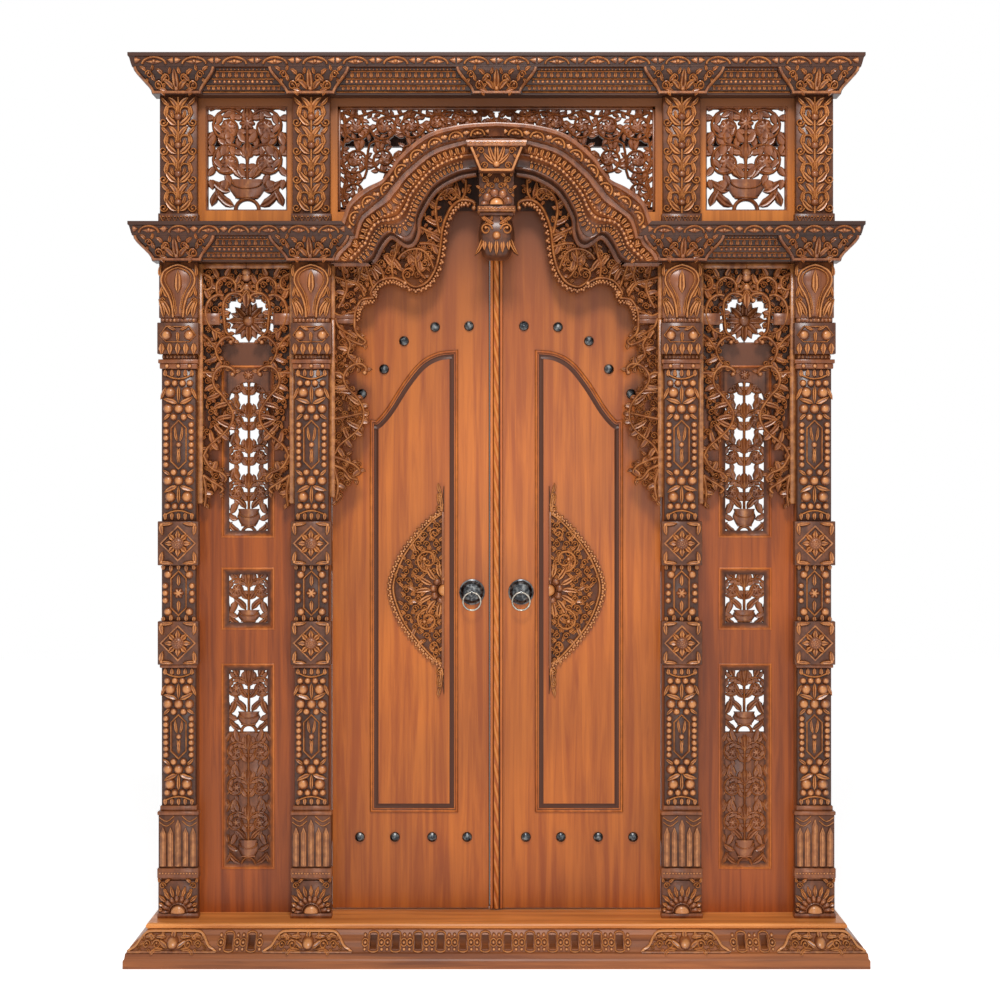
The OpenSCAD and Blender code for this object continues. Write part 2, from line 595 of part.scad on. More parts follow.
module right_wing_frame() wing_frame(bay_x);
module right_wing_crest() wing_crest(bay_x);
module right_wing_tall_panel() wing_tall_panel(bay_x);
module right_wing_small_panel() wing_small_panel(bay_x);
module right_wing_low_panel() {
  wing_low_panel(bay_x);
  wing_low_relief(bay_x);
}

// fretwork of the side bays, strokes as [distance from the bay middle, height past the cornice]
side_strokes = [
  [[20, -112], [12, -101], [26, -91], [48, -92], [65, -109], [70, -131], [68, -153],
   [66, -181], [62, -206], [48, -218]],
  [[68, -98], [87, -95], [110, -109], [122, -134], [122, -159], [112, -187], [96, -204], [76, -212]],
  [[47, -238], [38, -230], [51, -222], [68, -226], [85, -243], [92, -262], [87, -282], [73, -304]],
  [[41, -335], [36, -326], [51, -314], [74, -311], [93, -326], [101, -352], [93, -377],
   [73, -399], [50, -431], [40, -454], [44, -482], [65, -511], [96, -537], [117, -557], [128, -580]],
  [[34, -81], [32, -64], [46, -47], [68, -43], [87, -58], [90, -82], [84, -98]],
  [[130, -578], [116, -606], [100, -622], [76, -632], [60, -648], [66, -660]],
  [[130, -640], [108, -656], [88, -668], [70, -682], [80, -694]],
  [[130, -640], [122, -690], [126, -734]],
  [[132, -30], [108, -44], [104, -68], [118, -80], [132, -76]],
  [[34, -84], [16, -84], [0, -62]],
  [[132, -216], [112, -232], [92, -262]],
  [[132, -330], [116, -330], [96, -330]]];
// leaves as [distance, height, angle, length]
side_leaves = [[88, -40, 70, 32], [60, -36, 110, 26], [30, -60, 120, 34], [112, -104, 60, 34],
  [70, -150, 180, 22], [100, -200, 250, 36], [92, -250, 20, 34],
  [88, -284, -30, 40], [76, -300, -50, 34], [102, -340, 30, 30], [98, -370, -20, 34],
  [80, -392, -30, 46], [56, -424, -10, 50], [44, -450, 170, 16], [44, -462, -5, 54],
  [48, -492, 20, 50], [48, -492, 200, 20], [70, -514, 40, 44], [70, -518, 230, 24],
  [100, -540, 70, 40], [100, -544, 240, 26], [96, -622, 100, 28], [76, -632, 250, 24],
  [100, -660, 250, 30], [122, -690, 200, 24], [104, -70, 190, 24]];
module side_fretwork(x) color(gold)
  carving(fret_d, fret_d + fret_t) translate([x, 0]) both() {
    rect(bay_half - 17, bay_half, z_corn - 726, z_corn);
    rect(-1, bay_half, z_corn - 16, z_corn);
    rect((86 - 6) * ku, bay_half - 8, z_head - 18, z_head + 18);
    for (s = side_strokes) stroke(scaled(s, ku), 9, 8);
    for (l = side_leaves) leaf_at([l[0] * ku, z_corn + l[1]], l[2], l[3], 17);
    for (s = [0, 2, 3]) translate(scaled(side_strokes[s], ku)[0]) circle(7, $fn = 12);
    translate([0, z_corn - 34]) scale([1, 1.5]) circle(15, $fn = 16);
    translate([0, z_corn - 72]) circle(13, $fn = 12);
    polygon(leaf([0, z_corn - 92], -90, 44, 34));
    stroke(scaled([[14, -104], [8, -92], [0, -80]], 1), 8, 8);
  }
module left_side_fretwork() side_fretwork(-bay_x);
module right_side_fretwork() side_fretwork(bay_x);

// fretwork under the arch, strokes of the left half
rib = [[68, 167], [66, 181], [80, 190], [106, 191], [130, 176], [147, 151], [163, 106],
  [169, 58], [175, 17], [187, -22], [205, -51], [226, -66], [250, -70], [272, -56],
  [283, -36], [277, -20], [261, -16], [250, -26], [256, -38]];
rib_two = [[276, -60], [290, -51], [310, -44], [335, -46], [357, -56], [373, -75], [380, -92], [372, -106]];
rib_three = [[372, -104], [392, -106], [408, -111], [420, -129], [427, -148], [429, -170]];
arch_strokes = [
  [[296, 12], [286, 28], [262, 42], [233, 43], [211, 30], [198, 8], [190, -16]],
  [[171, 90], [181, 132], [184, 170], [176, 199], [154, 222], [134, 226], [122, 214], [124, 198], [136, 190]],
  [[106, 190], [94, 214], [92, 252]],
  [[240, 44], [244, 0], [230, -30], [214, -46]],
  [[300, 64], [306, 26], [316, -4], [312, -44]],
  [[372, 6], [350, -14], [340, -46]],
  [[396, -6], [384, -40], [372, -74]],
  [[490, -40], [458, -50], [420, -64], [398, -100]],
  [[478, -135], [462, -105], [452, -70], [462, -34], [466, -8]],
  [[420, -8], [414, -36], [424, -66]],
  [[490, -150], [470, -158], [446, -150], [428, -146]],
  [[232, 110], [204, 96], [172, 84]],
  [[232, 60], [206, 60], [172, 50]]];
// leaves [distance, rise, angle, length]
arch_leaves = [[150, 212, 120, 34], [112, 204, 70, 44], [182, 168, 45, 40], [178, 120, 20, 46],
  [172, 66, 40, 46], [178, 30, 60, 40], [262, 0, 90, 34], [244, 6, 40, 36], [244, 6, 130, 36],
  [226, -20, 70, 34], [290, -20, 60, 50], [306, 30, 110, 40], [318, -6, 60, 44], [340, -30, 30, 44],
  [360, -50, 70, 44], [384, -44, 20, 40], [398, -90, 60, 46], [420, -60, 10, 44], [416, -30, 120, 30],
  [452, -70, 150, 40], [456, -92, 20, 34], [430, -140, 160, 30],
  [452, -30, 60, 30], [470, -60, 200, 30], [150, 226, 60, 30]];
module arch_fretwork() color(gold) carving(fret_d, fret_d + fret_t) intersection() {
  scale([-1, 1]) {
    e = smooth(concat([[500, 0], [388, 0], [378, 4]],
      [for (i = [0:len(arch_in) - 2]) arch_in[i]], [[60, 273]]), 3);
    inset = [for (i = [0:len(e) - 1]) let (q = e[i] - normal(e, i) * 4)
      [q[0] * kx, arch_z(q[1])]];
    polygon(ribbon(inset, 30, 30));
    rect(door_half - 17, door_half, z_head, z_corn);
    for (s = arch_strokes) stroke(scaled(s, kx), 9, 8);
    stroke(scaled(rib, kx), 11, 8);
    stroke(scaled(rib_two, kx), 10, 9);
    stroke(scaled(rib_three, kx), 10, 10);
    for (l = arch_leaves) leaf_at([l[0] * kx, z_corn + l[1]], l[2], l[3], 18);
    for (p = [rib, rib_two]) translate(scaled(p, kx)[0]) circle(7, $fn = 12);
    lobes(scaled([for (i = [3:13]) rib[i]], kx), -10, 9, 2);
    lobes(scaled(rib_two, kx), -9, 8, 2);
    lobes(scaled(rib_three, kx), -9, 8, 2);
    rect(425 * kx, door_half - 4, z_head, z_head + 14);
  }
  rect(-door_half, -58, z_head, z_corn + cornice_h * 4);
}
// lower piece beside the door jamb
jamb_strokes = [
  [[429, -166], [428, -196], [420, -214], [406, -226], [396, -236], [404, -246]],
  [[486, -166], [478, -190], [458, -206], [432, -220]],
  [[404, -246], [424, -240], [440, -232], [458, -222]],
  [[452, -226], [442, -246], [448, -276], [430, -298], [410, -316]],
  [[398, -330], [394, -316], [408, -304], [432, -306], [454, -324], [462, -350], [448, -378],
   [424, -402], [404, -434], [402, -470], [418, -502], [448, -528], [474, -550], [488, -576]],
  [[490, -585], [470, -590], [446, -600], [424, -612], [412, -630], [424, -640]],
  [[490, -610], [462, -622], [440, -648], [420, -652]],
  [[490, -620], [478, -670], [484, -716], [470, -700]],
  [[490, -330], [474, -330], [460, -340]],
  [[490, -470], [450, -462], [404, -452]]];
jamb_leaves = [[470, -200, 250, 34], [440, -214, 200, 24], [448, -262, 20, 36], [446, -280, 200, 28],
  [462, -344, 30, 30], [454, -372, -10, 40], [436, -390, 10, 54], [412, -424, 30, 54],
  [402, -452, 200, 18], [404, -430, 170, 18], [404, -476, 200, 20], [412, -496, 20, 50],
  [424, -508, 220, 24], [446, -528, 60, 44], [452, -534, 240, 30], [478, -560, 230, 36],
  [446, -604, 80, 24], [430, -640, 130, 30], [456, -632, 240, 32], [478, -668, 200, 26],
  [420, -302, 110, 22]];
module jamb_fretwork() color(gold) carving(fret_d, fret_d + fret_t) intersection() {
  scale([-1, 1]) {
    rect(door_half - 17, door_half, z_corn - 706, z_head);
    rect(425 * kx, door_half - 4, z_head - 14, z_head);
    for (s = jamb_strokes) stroke(scaled(s, kx), 10, 8);
    for (l = jamb_leaves) leaf_at([l[0] * kx, z_corn + l[1]], l[2], l[3], 18);
    translate(scaled(jamb_strokes[4], kx)[0]) circle(7, $fn = 12);
  }
  rect(-door_half, 0, 0, z_head);
}
module left_arch_fretwork() arch_fretwork();
module right_arch_fretwork() flip() arch_fretwork();
module left_jamb_fretwork() jamb_fretwork();
module right_jamb_fretwork() flip() jamb_fretwork();

// leaves: plank frame, shaped panel, half medallion, studs
panel_out = 375;
panel_in = 130;
panel_z = [430, 1606, 1820];
// shoulder curve of the panel top, [share of the width, share of the rise]
shoulder = [[0, 0], [0.06, 0.01], [0.2, 0.2], [0.4, 0.56], [0.6, 0.84], [0.8, 0.97], [1, 1]];
module panel_outline() polygon(concat(
  [[-panel_in, panel_z[0]], [-panel_out, panel_z[0]]],
  [for (q = smooth(shoulder, 4)) [-panel_out + q[0] * (panel_out - panel_in),
    panel_z[1] + q[1] * (panel_z[2] - panel_z[1])]]));
module leaf_frame(free_x) color(wood) {
  board(leaf_d, back_d) difference() {
    rect(-door_half + leaf_gap, free_x, leaf_z, leaf_top);
    panel_outline();
  }
  board(leaf_d - 5, leaf_d + 1) difference() {
    offset(delta = 11) panel_outline();
    offset(delta = 5) panel_outline();
  }
}
module leaf_panel() color(wood) {
  board(leaf_d + 6, back_d - 6) panel_outline();
  board(leaf_d + 1, leaf_d + 8) offset(delta = -14) panel_outline();
}
medal_x = 160;
medal_z = 1098;
medal_d = leaf_d + 1;
// outer edge of the half medallion
medal_edge = [[2, 318], [6, 270], [15, 236], [46, 214], [87, 170], [132, 110], [159, 50], [168, 6],
  [159, -40], [132, -102], [87, -162], [46, -206], [15, -228], [6, -266], [2, -318]];
module medallion() color(gold) translate([-medal_x, 0, medal_z]) {
  board(medal_d - 6, medal_d) offset(delta = 0.01) scale([-1, 1]) {
    polygon(concat([for (q = smooth(medal_edge, 3)) q], [[0, -318], [0, 318]]));
    lobes([for (i = [2:12]) medal_edge[i]], 3, 8, 2);
  }
  board(medal_d - 13, medal_d - 5) offset(delta = 0.01) scale([-1, 1]) {
    stroke([for (i = [2:12]) medal_edge[i] - [8, 0]], 8, 8);
    rect(0, 8, -240, 240);
    for (a = [-75:25:75]) polygon(leaf(34 * [cos(a), sin(a)], a, 56, 22));
    for (s = [-1, 1]) scale([1, s]) {
      coil([48, 118], 26, 9, -90, 1.3, 8);
      coil([34, 176], 20, 7, -90, 1.3, 7);
      leaf_at([4, 230], 84, 84, 12);
    }
  }
  intersection() {
    translate([0, y_front + medal_d, 0]) rotate([90, 0, 0]) rotate_extrude()
      polygon([[0, -1], [40, -1], [40, 10], [26, 14], [24, 18], [7, 22], [0, 22]]);
    block(-60, 0, -200, medal_d, -60, 60);
  }
}
stud_top = [[84, 1906], [188, 1903], [283, 1860], [344, 1774], [412, 1698]];
stud_low = [[418, 342], [311, 342], [197, 342], [90, 342]];
module studs() color(iron) for (q = concat(stud_top, stud_low))
  translate([-q[0], y_front + leaf_d, q[1]]) rotate([90, 0, 0]) rotate_extrude()
    polygon([[0, 0], [15, 0], [15, 3], [12.5, 8], [8, 11], [0, 12.5]]);

// ring pull: domed boss with an eye, and the ring hanging in it
boss_r = 39;
ring_r = 27;
ring_wire = 2.6;
eye_d = leaf_d - 31;
eye_bore = ring_wire + 0.6;
module pull_boss() color(iron) difference() {
  union() {
    translate([-pull_x, y_front + leaf_d, pull_z]) rotate([90, 0, 0]) rotate_extrude()
      polygon([[0, 0], [boss_r, 0], [boss_r, 4], [boss_r - 4, 6], [boss_r - 6, 10], [26, 17],
        [14, 21], [0, 22.5]]);
    translate([-pull_x, y_front + eye_d, pull_z]) rotate([0, 90, 0]) cylinder(h = 5, r = 7, center = true);
    translate([-pull_x, y_front + eye_d + 8, pull_z]) cube([5, 14, 12], center = true);
  }
  translate([-pull_x, y_front + eye_d, pull_z]) rotate([0, 90, 0]) cylinder(h = 20, r = eye_bore, center = true);
}
module pull_ring() color(steel) translate([-pull_x, y_front + eye_d, pull_z - ring_r])
  rotate([90, 0, 0]) rotate_extrude($fn = 48) translate([ring_r, 0]) circle(ring_wire, $fn = 16);

// hinges on the back, knuckles shared by thirds
module strap(x0, x1, z0, z1) block(x0, x1, back_d, back_d + strap_t, z0, z1);
module knuckle(z0, z1, r) translate([-hinge_x, y_front + hinge_d, z0]) cylinder(h = z1 - z0, r = r);
third = hinge_l / 3;
lap = 0.5;
module post_side_hinge(z) {
  for (s = [-1, 1]) {
    strap(-hinge_x - 40, -hinge_x, z + s * third - third / 2 + lap, z + s * third + third / 2 - lap);
    knuckle(z + s * third - third / 2 + lap, z + s * third + third / 2 - lap, knuckle_r);
  }
  strap(-hinge_x - 40, -hinge_x - knuckle_r - 3, z - hinge_l / 2 + lap, z + hinge_l / 2 - lap);
  knuckle(z - hinge_l / 2, z + hinge_l / 2 + 4, pin_r);
}
module post_hinge_straps() color(iron) for (z = hinge_zs) {
  post_side_hinge(z);
  flip() post_side_hinge(z);
}
module leaf_hinge() color(iron) for (z = hinge_zs) difference() {
  union() {
    knuckle(z - third / 2 + lap, z + third / 2 - lap, knuckle_r);
    strap(-hinge_x, -hinge_x + 40, z - third / 2 + lap, z + third / 2 - lap);
    strap(-hinge_x + knuckle_r + 3, -hinge_x + 40, z - hinge_l / 2, z + hinge_l / 2);
  }
  knuckle(z - hinge_l, z + hinge_l, pin_r + play);
}

module left_leaf_frame() leaf_frame(meet_x - leaf_gap * 2);
module left_leaf_panel() leaf_panel();
module left_medallion() medallion();
module left_studs() studs();
module left_pull_boss() pull_boss();
module left_pull_ring() pull_ring();
module left_hinge_straps() leaf_hinge();
module right_leaf_frame() flip() leaf_frame(-meet_x);
module right_leaf_panel() flip() leaf_panel();
module right_medallion() flip() medallion();
module right_studs() flip() studs();
module right_pull_boss() flip() pull_boss();
module right_pull_ring() flip() pull_ring();
module right_hinge_straps() flip() leaf_hinge();
// meeting strip on the right leaf, wholly on its own leaf
module meeting_strip() color(gold) {
  translate([0, y_front + leaf_d, leaf_z]) linear_extrude(z_up - leaf_z - 60)
    polygon([[meet_x, 0], [meet_x, -4], [meet_x + 5, -8], [meet_x + 9, -9], [-9, -14], [0, -16],
      [9, -14], [-meet_x - 9, -9], [-meet_x - 5, -8], [-meet_x, -4], [-meet_x, 0]]);
}

// slide bolt on the back of the right leaf
guide_l = 164 + 2 * bolt_travel;
module guide(z) {
  difference() {
    union() {
      block(bolt_x - 20, bolt_x + 20, back_d, back_d + 2, z - guide_l / 2, z + guide_l / 2);
      for (s = [-1, 1]) block(bolt_x - 9, bolt_x + 9, back_d, back_d + 18, z + s * 78 - 12, z + s * 78 + 12);
    }
    translate([bolt_x, y_front + bolt_d, z - guide_l]) cylinder(h = guide_l * 2, r = bolt_r + play);
  }
}
guide_z = leaf_z + 120;
module bolt_guide() color(iron) guide(guide_z);
module bottom_bolt() color(steel) {
  translate([bolt_x, y_front + bolt_d, z_sill + 5]) cylinder(h = guide_z + 110 - z_sill - 5, r = bolt_r);
  translate([bolt_x, y_front + bolt_d, guide_z + 20]) rotate([0, 90, 0]) cylinder(h = 26, r = 3.5);
}

module at_post(x) translate([x, 0, 0]) children();
module outer_left_post() at_post(-outer_post_x) post();
module inner_left_post() at_post(-inner_post_x) post();
module inner_right_post() at_post(inner_post_x) post();
module outer_right_post() at_post(outer_post_x) post();
module outer_left_upper_post() at_post(-outer_post_x) upper_post();
module inner_left_upper_post() at_post(-inner_post_x) upper_post();
module inner_right_upper_post() at_post(inner_post_x) upper_post();
module outer_right_upper_post() at_post(outer_post_x) upper_post();

base_moulding();
sill_board();
sill_rail();
outer_left_post();
inner_left_post();
inner_right_post();
outer_right_post();
outer_left_upper_post();
inner_left_upper_post();
inner_right_upper_post();
outer_right_upper_post();
left_cornice();
right_cornice();
left_arch_moulding();
right_arch_moulding();
keystone();
pendant();
crown_cornice();
rear_beam();
arch_backboard();
upper_left_frame();
upper_right_frame();
upper_centre_frame();
upper_left_panel();
upper_right_panel();
upper_centre_panel();
left_wing_frame();
left_wing_crest();
left_wing_tall_panel();
left_wing_small_panel();
left_wing_low_panel();
right_wing_frame();
right_wing_crest();
right_wing_tall_panel();
right_wing_small_panel();
right_wing_low_panel();
left_side_fretwork();
right_side_fretwork();
left_arch_fretwork();
right_arch_fretwork();
left_jamb_fretwork();
right_jamb_fretwork();
left_leaf_frame();
left_leaf_panel();
left_medallion();
left_studs();
left_pull_boss();
left_pull_ring();
left_hinge_straps();
right_leaf_frame();
right_leaf_panel();
right_medallion();
right_studs();
right_pull_boss();
right_pull_ring();
right_hinge_straps();
meeting_strip();
post_hinge_straps();
bolt_guide();
bottom_bolt();
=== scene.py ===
# %% [markdown]
# # A carved teak double door in its facade frame
# The solids of the door come in as a fixed frame: sill, posts, cornices, arch, panels and leaves at
# their real size. This lesson dresses that frame. Plain boards keep their solids and get a wood
# finish, and whatever a carver would cut with gouges is made here as surfaces worked out from formulas.

# %% Load the frame
import math

import bmesh
import bpy
import numpy as np
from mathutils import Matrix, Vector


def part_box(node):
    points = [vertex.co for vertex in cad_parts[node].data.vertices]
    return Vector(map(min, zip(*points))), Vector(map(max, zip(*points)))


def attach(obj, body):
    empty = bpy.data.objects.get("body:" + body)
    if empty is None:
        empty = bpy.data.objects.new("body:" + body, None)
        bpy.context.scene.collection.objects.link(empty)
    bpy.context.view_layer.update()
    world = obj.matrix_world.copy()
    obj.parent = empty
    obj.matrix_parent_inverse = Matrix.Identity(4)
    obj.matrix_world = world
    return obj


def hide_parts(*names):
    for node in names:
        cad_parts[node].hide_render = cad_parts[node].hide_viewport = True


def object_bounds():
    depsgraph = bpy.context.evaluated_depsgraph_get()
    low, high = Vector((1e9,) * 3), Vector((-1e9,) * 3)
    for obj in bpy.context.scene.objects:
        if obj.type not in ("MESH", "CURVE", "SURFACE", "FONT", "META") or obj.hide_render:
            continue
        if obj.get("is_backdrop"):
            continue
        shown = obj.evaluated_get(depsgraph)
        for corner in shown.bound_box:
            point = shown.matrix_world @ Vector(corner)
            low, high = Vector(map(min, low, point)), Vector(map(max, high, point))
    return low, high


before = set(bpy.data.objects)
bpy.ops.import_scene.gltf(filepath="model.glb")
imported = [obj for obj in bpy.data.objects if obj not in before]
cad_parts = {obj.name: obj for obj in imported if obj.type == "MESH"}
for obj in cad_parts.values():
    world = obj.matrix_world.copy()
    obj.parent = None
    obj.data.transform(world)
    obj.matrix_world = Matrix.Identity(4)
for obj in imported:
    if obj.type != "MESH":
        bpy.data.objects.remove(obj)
cad_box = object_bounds()
print("solids:", len(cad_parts), "size:", [round(v, 3) for v in cad_box[1] - cad_box[0]])

# %% [markdown]
# ## Measures of the frame
# A carver marks out from the timber, so the levels and axes are read from the solids and not typed
# again. All carving below is drawn in millimetres: x to the right, depth behind the post fronts, height.

# %% Levels and axes
MM = 0.001


def low(solid):
    """Lower corner of a solid's box in millimetres."""
    return np.array(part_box(solid)[0]) / MM


def high(solid):
    """Upper corner of a solid's box in millimetres."""
    return np.array(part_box(solid)[1]) / MM


BASE_STEP = 125.0
FRONT = low("base_moulding")[1] + BASE_STEP
SILL = high("sill_board")[2]
HEAD = high("outer_left_post")[2]
CORNICE = low("left_cornice")[2]
UPPER = high("left_cornice")[2]
CROWN = low("crown_cornice")[2]
CORE = 52.0
OUTER_X = (low("outer_right_post")[0] + high("outer_right_post")[0]) / 2
INNER_X = (low("inner_right_post")[0] + high("inner_right_post")[0]) / 2
DOOR_HALF = INNER_X - CORE
BAY_X = (OUTER_X + INNER_X) / 2
BAY_HALF = (OUTER_X - INNER_X) / 2 - CORE
LEAF_FACE = 115.0
print("levels:", [round(v) for v in (SILL, HEAD, CORNICE, UPPER, CROWN)], "door half:", round(DOOR_HALF))

# %% [markdown]
# ## The carver's kit
# Scrolls, leaves, beads and fillets make up the whole ornament. One way would be to sculpt each by
# hand. Here every form is a grid: a section carried along a path, or a profile turned about an axis.
# A Carving gathers such patches, with a relief value per point (0 in the ground, 1 on the crest) that
# the finishes later turn into painted shade in the ground and a painted highlight on the crests.


# %% Gathering patches
class Carving:
    """Patches of one carved piece: points (x, depth, height), relief values and faces."""

    def __init__(self):
        self.points = []
        self.relief = []
        self.faces = []
        self.size = 0

    def add(self, points, relief, *face_sets):
        """One more patch; its faces count from its own first point."""
        self.faces += [np.asarray(f) + self.size for f in face_sets]
        self.points.append(np.asarray(points, float))
        self.relief.append(np.asarray(relief, float))
        self.size += len(points)

    def tube(self, ring, relief):
        """A closed tube from a grid of points, with rows along it and columns round it, and its two ends."""
        size = ring.shape[:2]
        self.add(ring.reshape(-1, 3), np.broadcast_to(relief, size).ravel(), tube_faces(*size), ends(*size))

    def merged(self):
        """All points and all relief values in one array each."""
        return np.vstack(self.points), np.concatenate(self.relief)

    def scatter(self, motif, x, z, depth=0.0, turn=0.0):
        """Copies of a motif: each is turned in the face plane and moved, all at once."""
        p, r = motif.merged()
        values = [np.atleast_1d(np.asarray(v, float)) for v in (x, z, depth, turn)]
        x, z, depth, turn = [v[:, None] for v in np.broadcast_arrays(*values)]
        c, s = np.cos(turn), np.sin(turn)
        moved = np.stack([x + c * p[:, 0] - s * p[:, 2], depth + p[:, 1],
                          z + s * p[:, 0] + c * p[:, 2]], axis=-1)
        steps = (np.arange(len(x)) * len(p))[:, None, None]
        copies = [(f[None] + steps).reshape(-1, f.shape[1]) for f in motif.faces]
        self.add(moved.reshape(-1, 3), np.tile(r, len(x)), *copies)

    def join(self, *others):
        """The piece with other pieces in one."""
        out = Carving()
        for part in (self,) + others:
            out.add(*part.merged(), *part.faces)
        return out

    def both_sides(self):
        """The piece and its mirror image about x = 0."""
        return self.join(self.moved(side=-1))

    def moved(self, x=0.0, z=0.0, side=1):
        """The piece moved in the face plane; side -1 mirrors it first."""
        out = Carving()
        p, r = self.merged()
        out.add(p * (side, 1, 1) + (x, 0, z), r, *self.faces)
        return out

    def laid_on(self, depth_of):
        """The flat carving laid on a curved ground: depth grows by a function of height."""
        out = Carving()
        p, r = self.merged()
        p = p.copy()
        p[:, 1] += depth_of(p[:, 2])
        out.add(p, r, *self.faces)
        return out


def tube_faces(rows, columns):
    """Quads of a grid whose columns close into a ring."""
    i = np.arange(rows - 1)[:, None] * columns
    j = np.arange(columns)[None, :]
    k = (j + 1) % columns
    return np.stack([i + j, i + k, i + columns + k, i + columns + j], axis=-1).reshape(-1, 4)


def ends(rows, columns):
    """The two closing faces of such a tube."""
    first = np.arange(columns)
    return np.stack([first[::-1], first + (rows - 1) * columns])


# %% Curves
def smooth(points, steps):
    """Catmull-Rom curve through the points: each span is a cubic of its four neighbours."""
    p = np.asarray(points, float)
    q = np.vstack([p[:1], p, p[-1:]])
    a, b, c, d = [q[i:len(p) - 1 + i, None] for i in range(4)]
    t = (np.arange(steps) / steps)[None, :, None]
    s = 0.5 * (2 * b + (c - a) * t + (2 * a - 5 * b + 4 * c - d) * t ** 2
               + (3 * b - a - 3 * c + d) * t ** 3)
    return np.vstack([s.reshape(-1, p.shape[1]), p[-1:]])


def path_normal(path):
    """Unit normal to the left of a path, from central differences."""
    t = np.gradient(path, axis=0)
    t /= np.linalg.norm(t, axis=1, keepdims=True) + 1e-9
    return np.stack([-t[:, 1], t[:, 0]], axis=1)


def spaced(path, pitch, inset=0.0):
    """Points and headings at even steps along a path, by arc length."""
    run = np.concatenate([[0], np.cumsum(np.linalg.norm(np.diff(path, axis=0), axis=1))])
    count = max(int(round((run[-1] - 2 * inset) / pitch)), 1)
    s = inset + (np.arange(count) + 0.5) * (run[-1] - 2 * inset) / count
    x, z = np.interp(s, run, path[:, 0]), np.interp(s, run, path[:, 1])
    ahead = np.interp(s + 1, run, path[:, 0]) - np.interp(s - 1, run, path[:, 0])
    up = np.interp(s + 1, run, path[:, 1]) - np.interp(s - 1, run, path[:, 1])
    return np.stack([x, z], axis=1), np.arctan2(up, ahead)


def scroll(x, z, r0, r1, start, turns, n=24):
    """Spiral whose radius shrinks evenly while the angle runs on."""
    t = np.linspace(0, 1, n)
    a = np.radians(start) + 2 * np.pi * turns * t
    r = r0 + (r1 - r0) * t
    return np.stack([x + r * np.cos(a), z + r * np.sin(a)], axis=1)


# %% Strips: tendrils, fillets and leaves
TENDRIL = np.array([[-1, 0], [-0.72, 0.66], [0, 1], [0.72, 0.66], [1, 0]])
LEAF = np.array([[-1, 0.1], [-0.62, 0.95], [-0.22, 0.8], [0, 0.3], [0.22, 0.8], [0.62, 0.95], [1, 0.1]])
LONG_LEAF = 45.0
LEAFLET = np.array([[-1, 0.3], [-0.6, 1], [0, 0.6], [0.6, 1], [1, 0.3]])
FILLET = np.array([[-1, 0.55], [-0.72, 1], [0.72, 1], [1, 0.55]])


def strip(carving, path, half, face, rise, back, section=TENDRIL, tone=(0.25, 1.0)):
    """Section carried along a path: across it spreads by half, and it stands rise above the face."""
    path = np.asarray(path, float)
    n = len(path)
    half = np.broadcast_to(half, n)[:, None]
    rise = np.broadcast_to(rise, n)[:, None]
    across, lift = section.T
    xz = path[:, None, :] + path_normal(path)[:, None, :] * (half * across)[..., None]
    front = np.stack([xz[..., 0], face - rise * lift, xz[..., 1]], axis=-1)
    rear = front[:, [-1, 0]].copy()
    rear[..., 1] = back
    ring = np.concatenate([front, rear], axis=1)
    shade = np.concatenate([tone[0] + (tone[1] - tone[0]) * lift, [0.0, 0.0]])
    carving.tube(ring, shade)


def tendril(carving, points, w0, w1, face, back, steps=4, section=TENDRIL, *, rise):
    """Half-round stem through given points, tapering from w0 to w1."""
    path = smooth(points, steps)
    half = np.linspace(w0, w1, len(path)) / 2
    strip(carving, path, half, face, rise, back, section)


def leaf(carving, x, z, angle, length, width, face, rise, back, bend=0.5, lobes=3, rows=8):
    """Leaf on a bending midrib: half width is a sine swell cut by lobes, with a groove in the middle."""
    u = np.linspace(0, 1, rows)
    heading = np.radians(angle) + bend * (u - 0.3)
    step = length / (rows - 1)
    path = np.stack([x + step * np.concatenate([[0], np.cumsum(np.cos(heading[1:]))]),
                     z + step * np.concatenate([[0], np.cumsum(np.sin(heading[1:]))])], axis=1)
    half = width / 2 * np.sin(np.pi * u ** 0.8) ** 0.7 * (1 - 0.28 * np.abs(np.sin(lobes * np.pi * u)))
    strip(carving, path, half + 0.5, face, rise * (0.55 + 0.45 * np.sin(np.pi * u ** 0.7)), back,
          LEAF if length > LONG_LEAF else LEAFLET)


LEAN = 0.9


def garnish(carving, path, pitch, length, width, face, rise, back):
    """Small leaves along a strand, leaning forward on the left and the right in turn."""
    motif = Carving()
    leaf(motif, 0, 0, 90, length, width, 0, rise, back - face, 0.6, 2, 6)
    points, heading = spaced(np.asarray(path, float), pitch)
    way = np.where(np.arange(len(points)) % 2 == 0, LEAN, -LEAN)
    carving.scatter(motif, points[:, 0], points[:, 1], face, heading - np.pi / 2 + way)


def volute(carving, x, z, r, start, turns, width, face, rise, back, n=18):
    """Spiral tendril that ends in a round eye."""
    path = scroll(x, z, r, r * 0.3, start, turns, n)
    half = np.linspace(width, width * 0.7, len(path)) / 2
    strip(carving, path, half, face, rise, back)
    beads(carving, [path[-1, 0]], [path[-1, 1]], width * 0.72, face, rise * 1.25)


def curls(carving, path, pitch, r, face, rise, back):
    """Small spirals along a strand, to the left and the right in turn."""
    motif = Carving()
    volute(motif, 0, r, r, -90, 1.15, r * 0.6, 0, rise, back - face, 11)
    points, heading = spaced(np.asarray(path, float), pitch, pitch * 0.4)
    carving.scatter(motif, points[:, 0], points[:, 1], face, heading + np.pi * (np.arange(len(points)) % 2))


SPRIG_LEAVES = [(0.8, 0.8, 50, 2.0, 1.15), (-0.7, 0.9, 118, 1.7, 1.0), (0.3, -1.0, -40, 1.5, 0.95)]


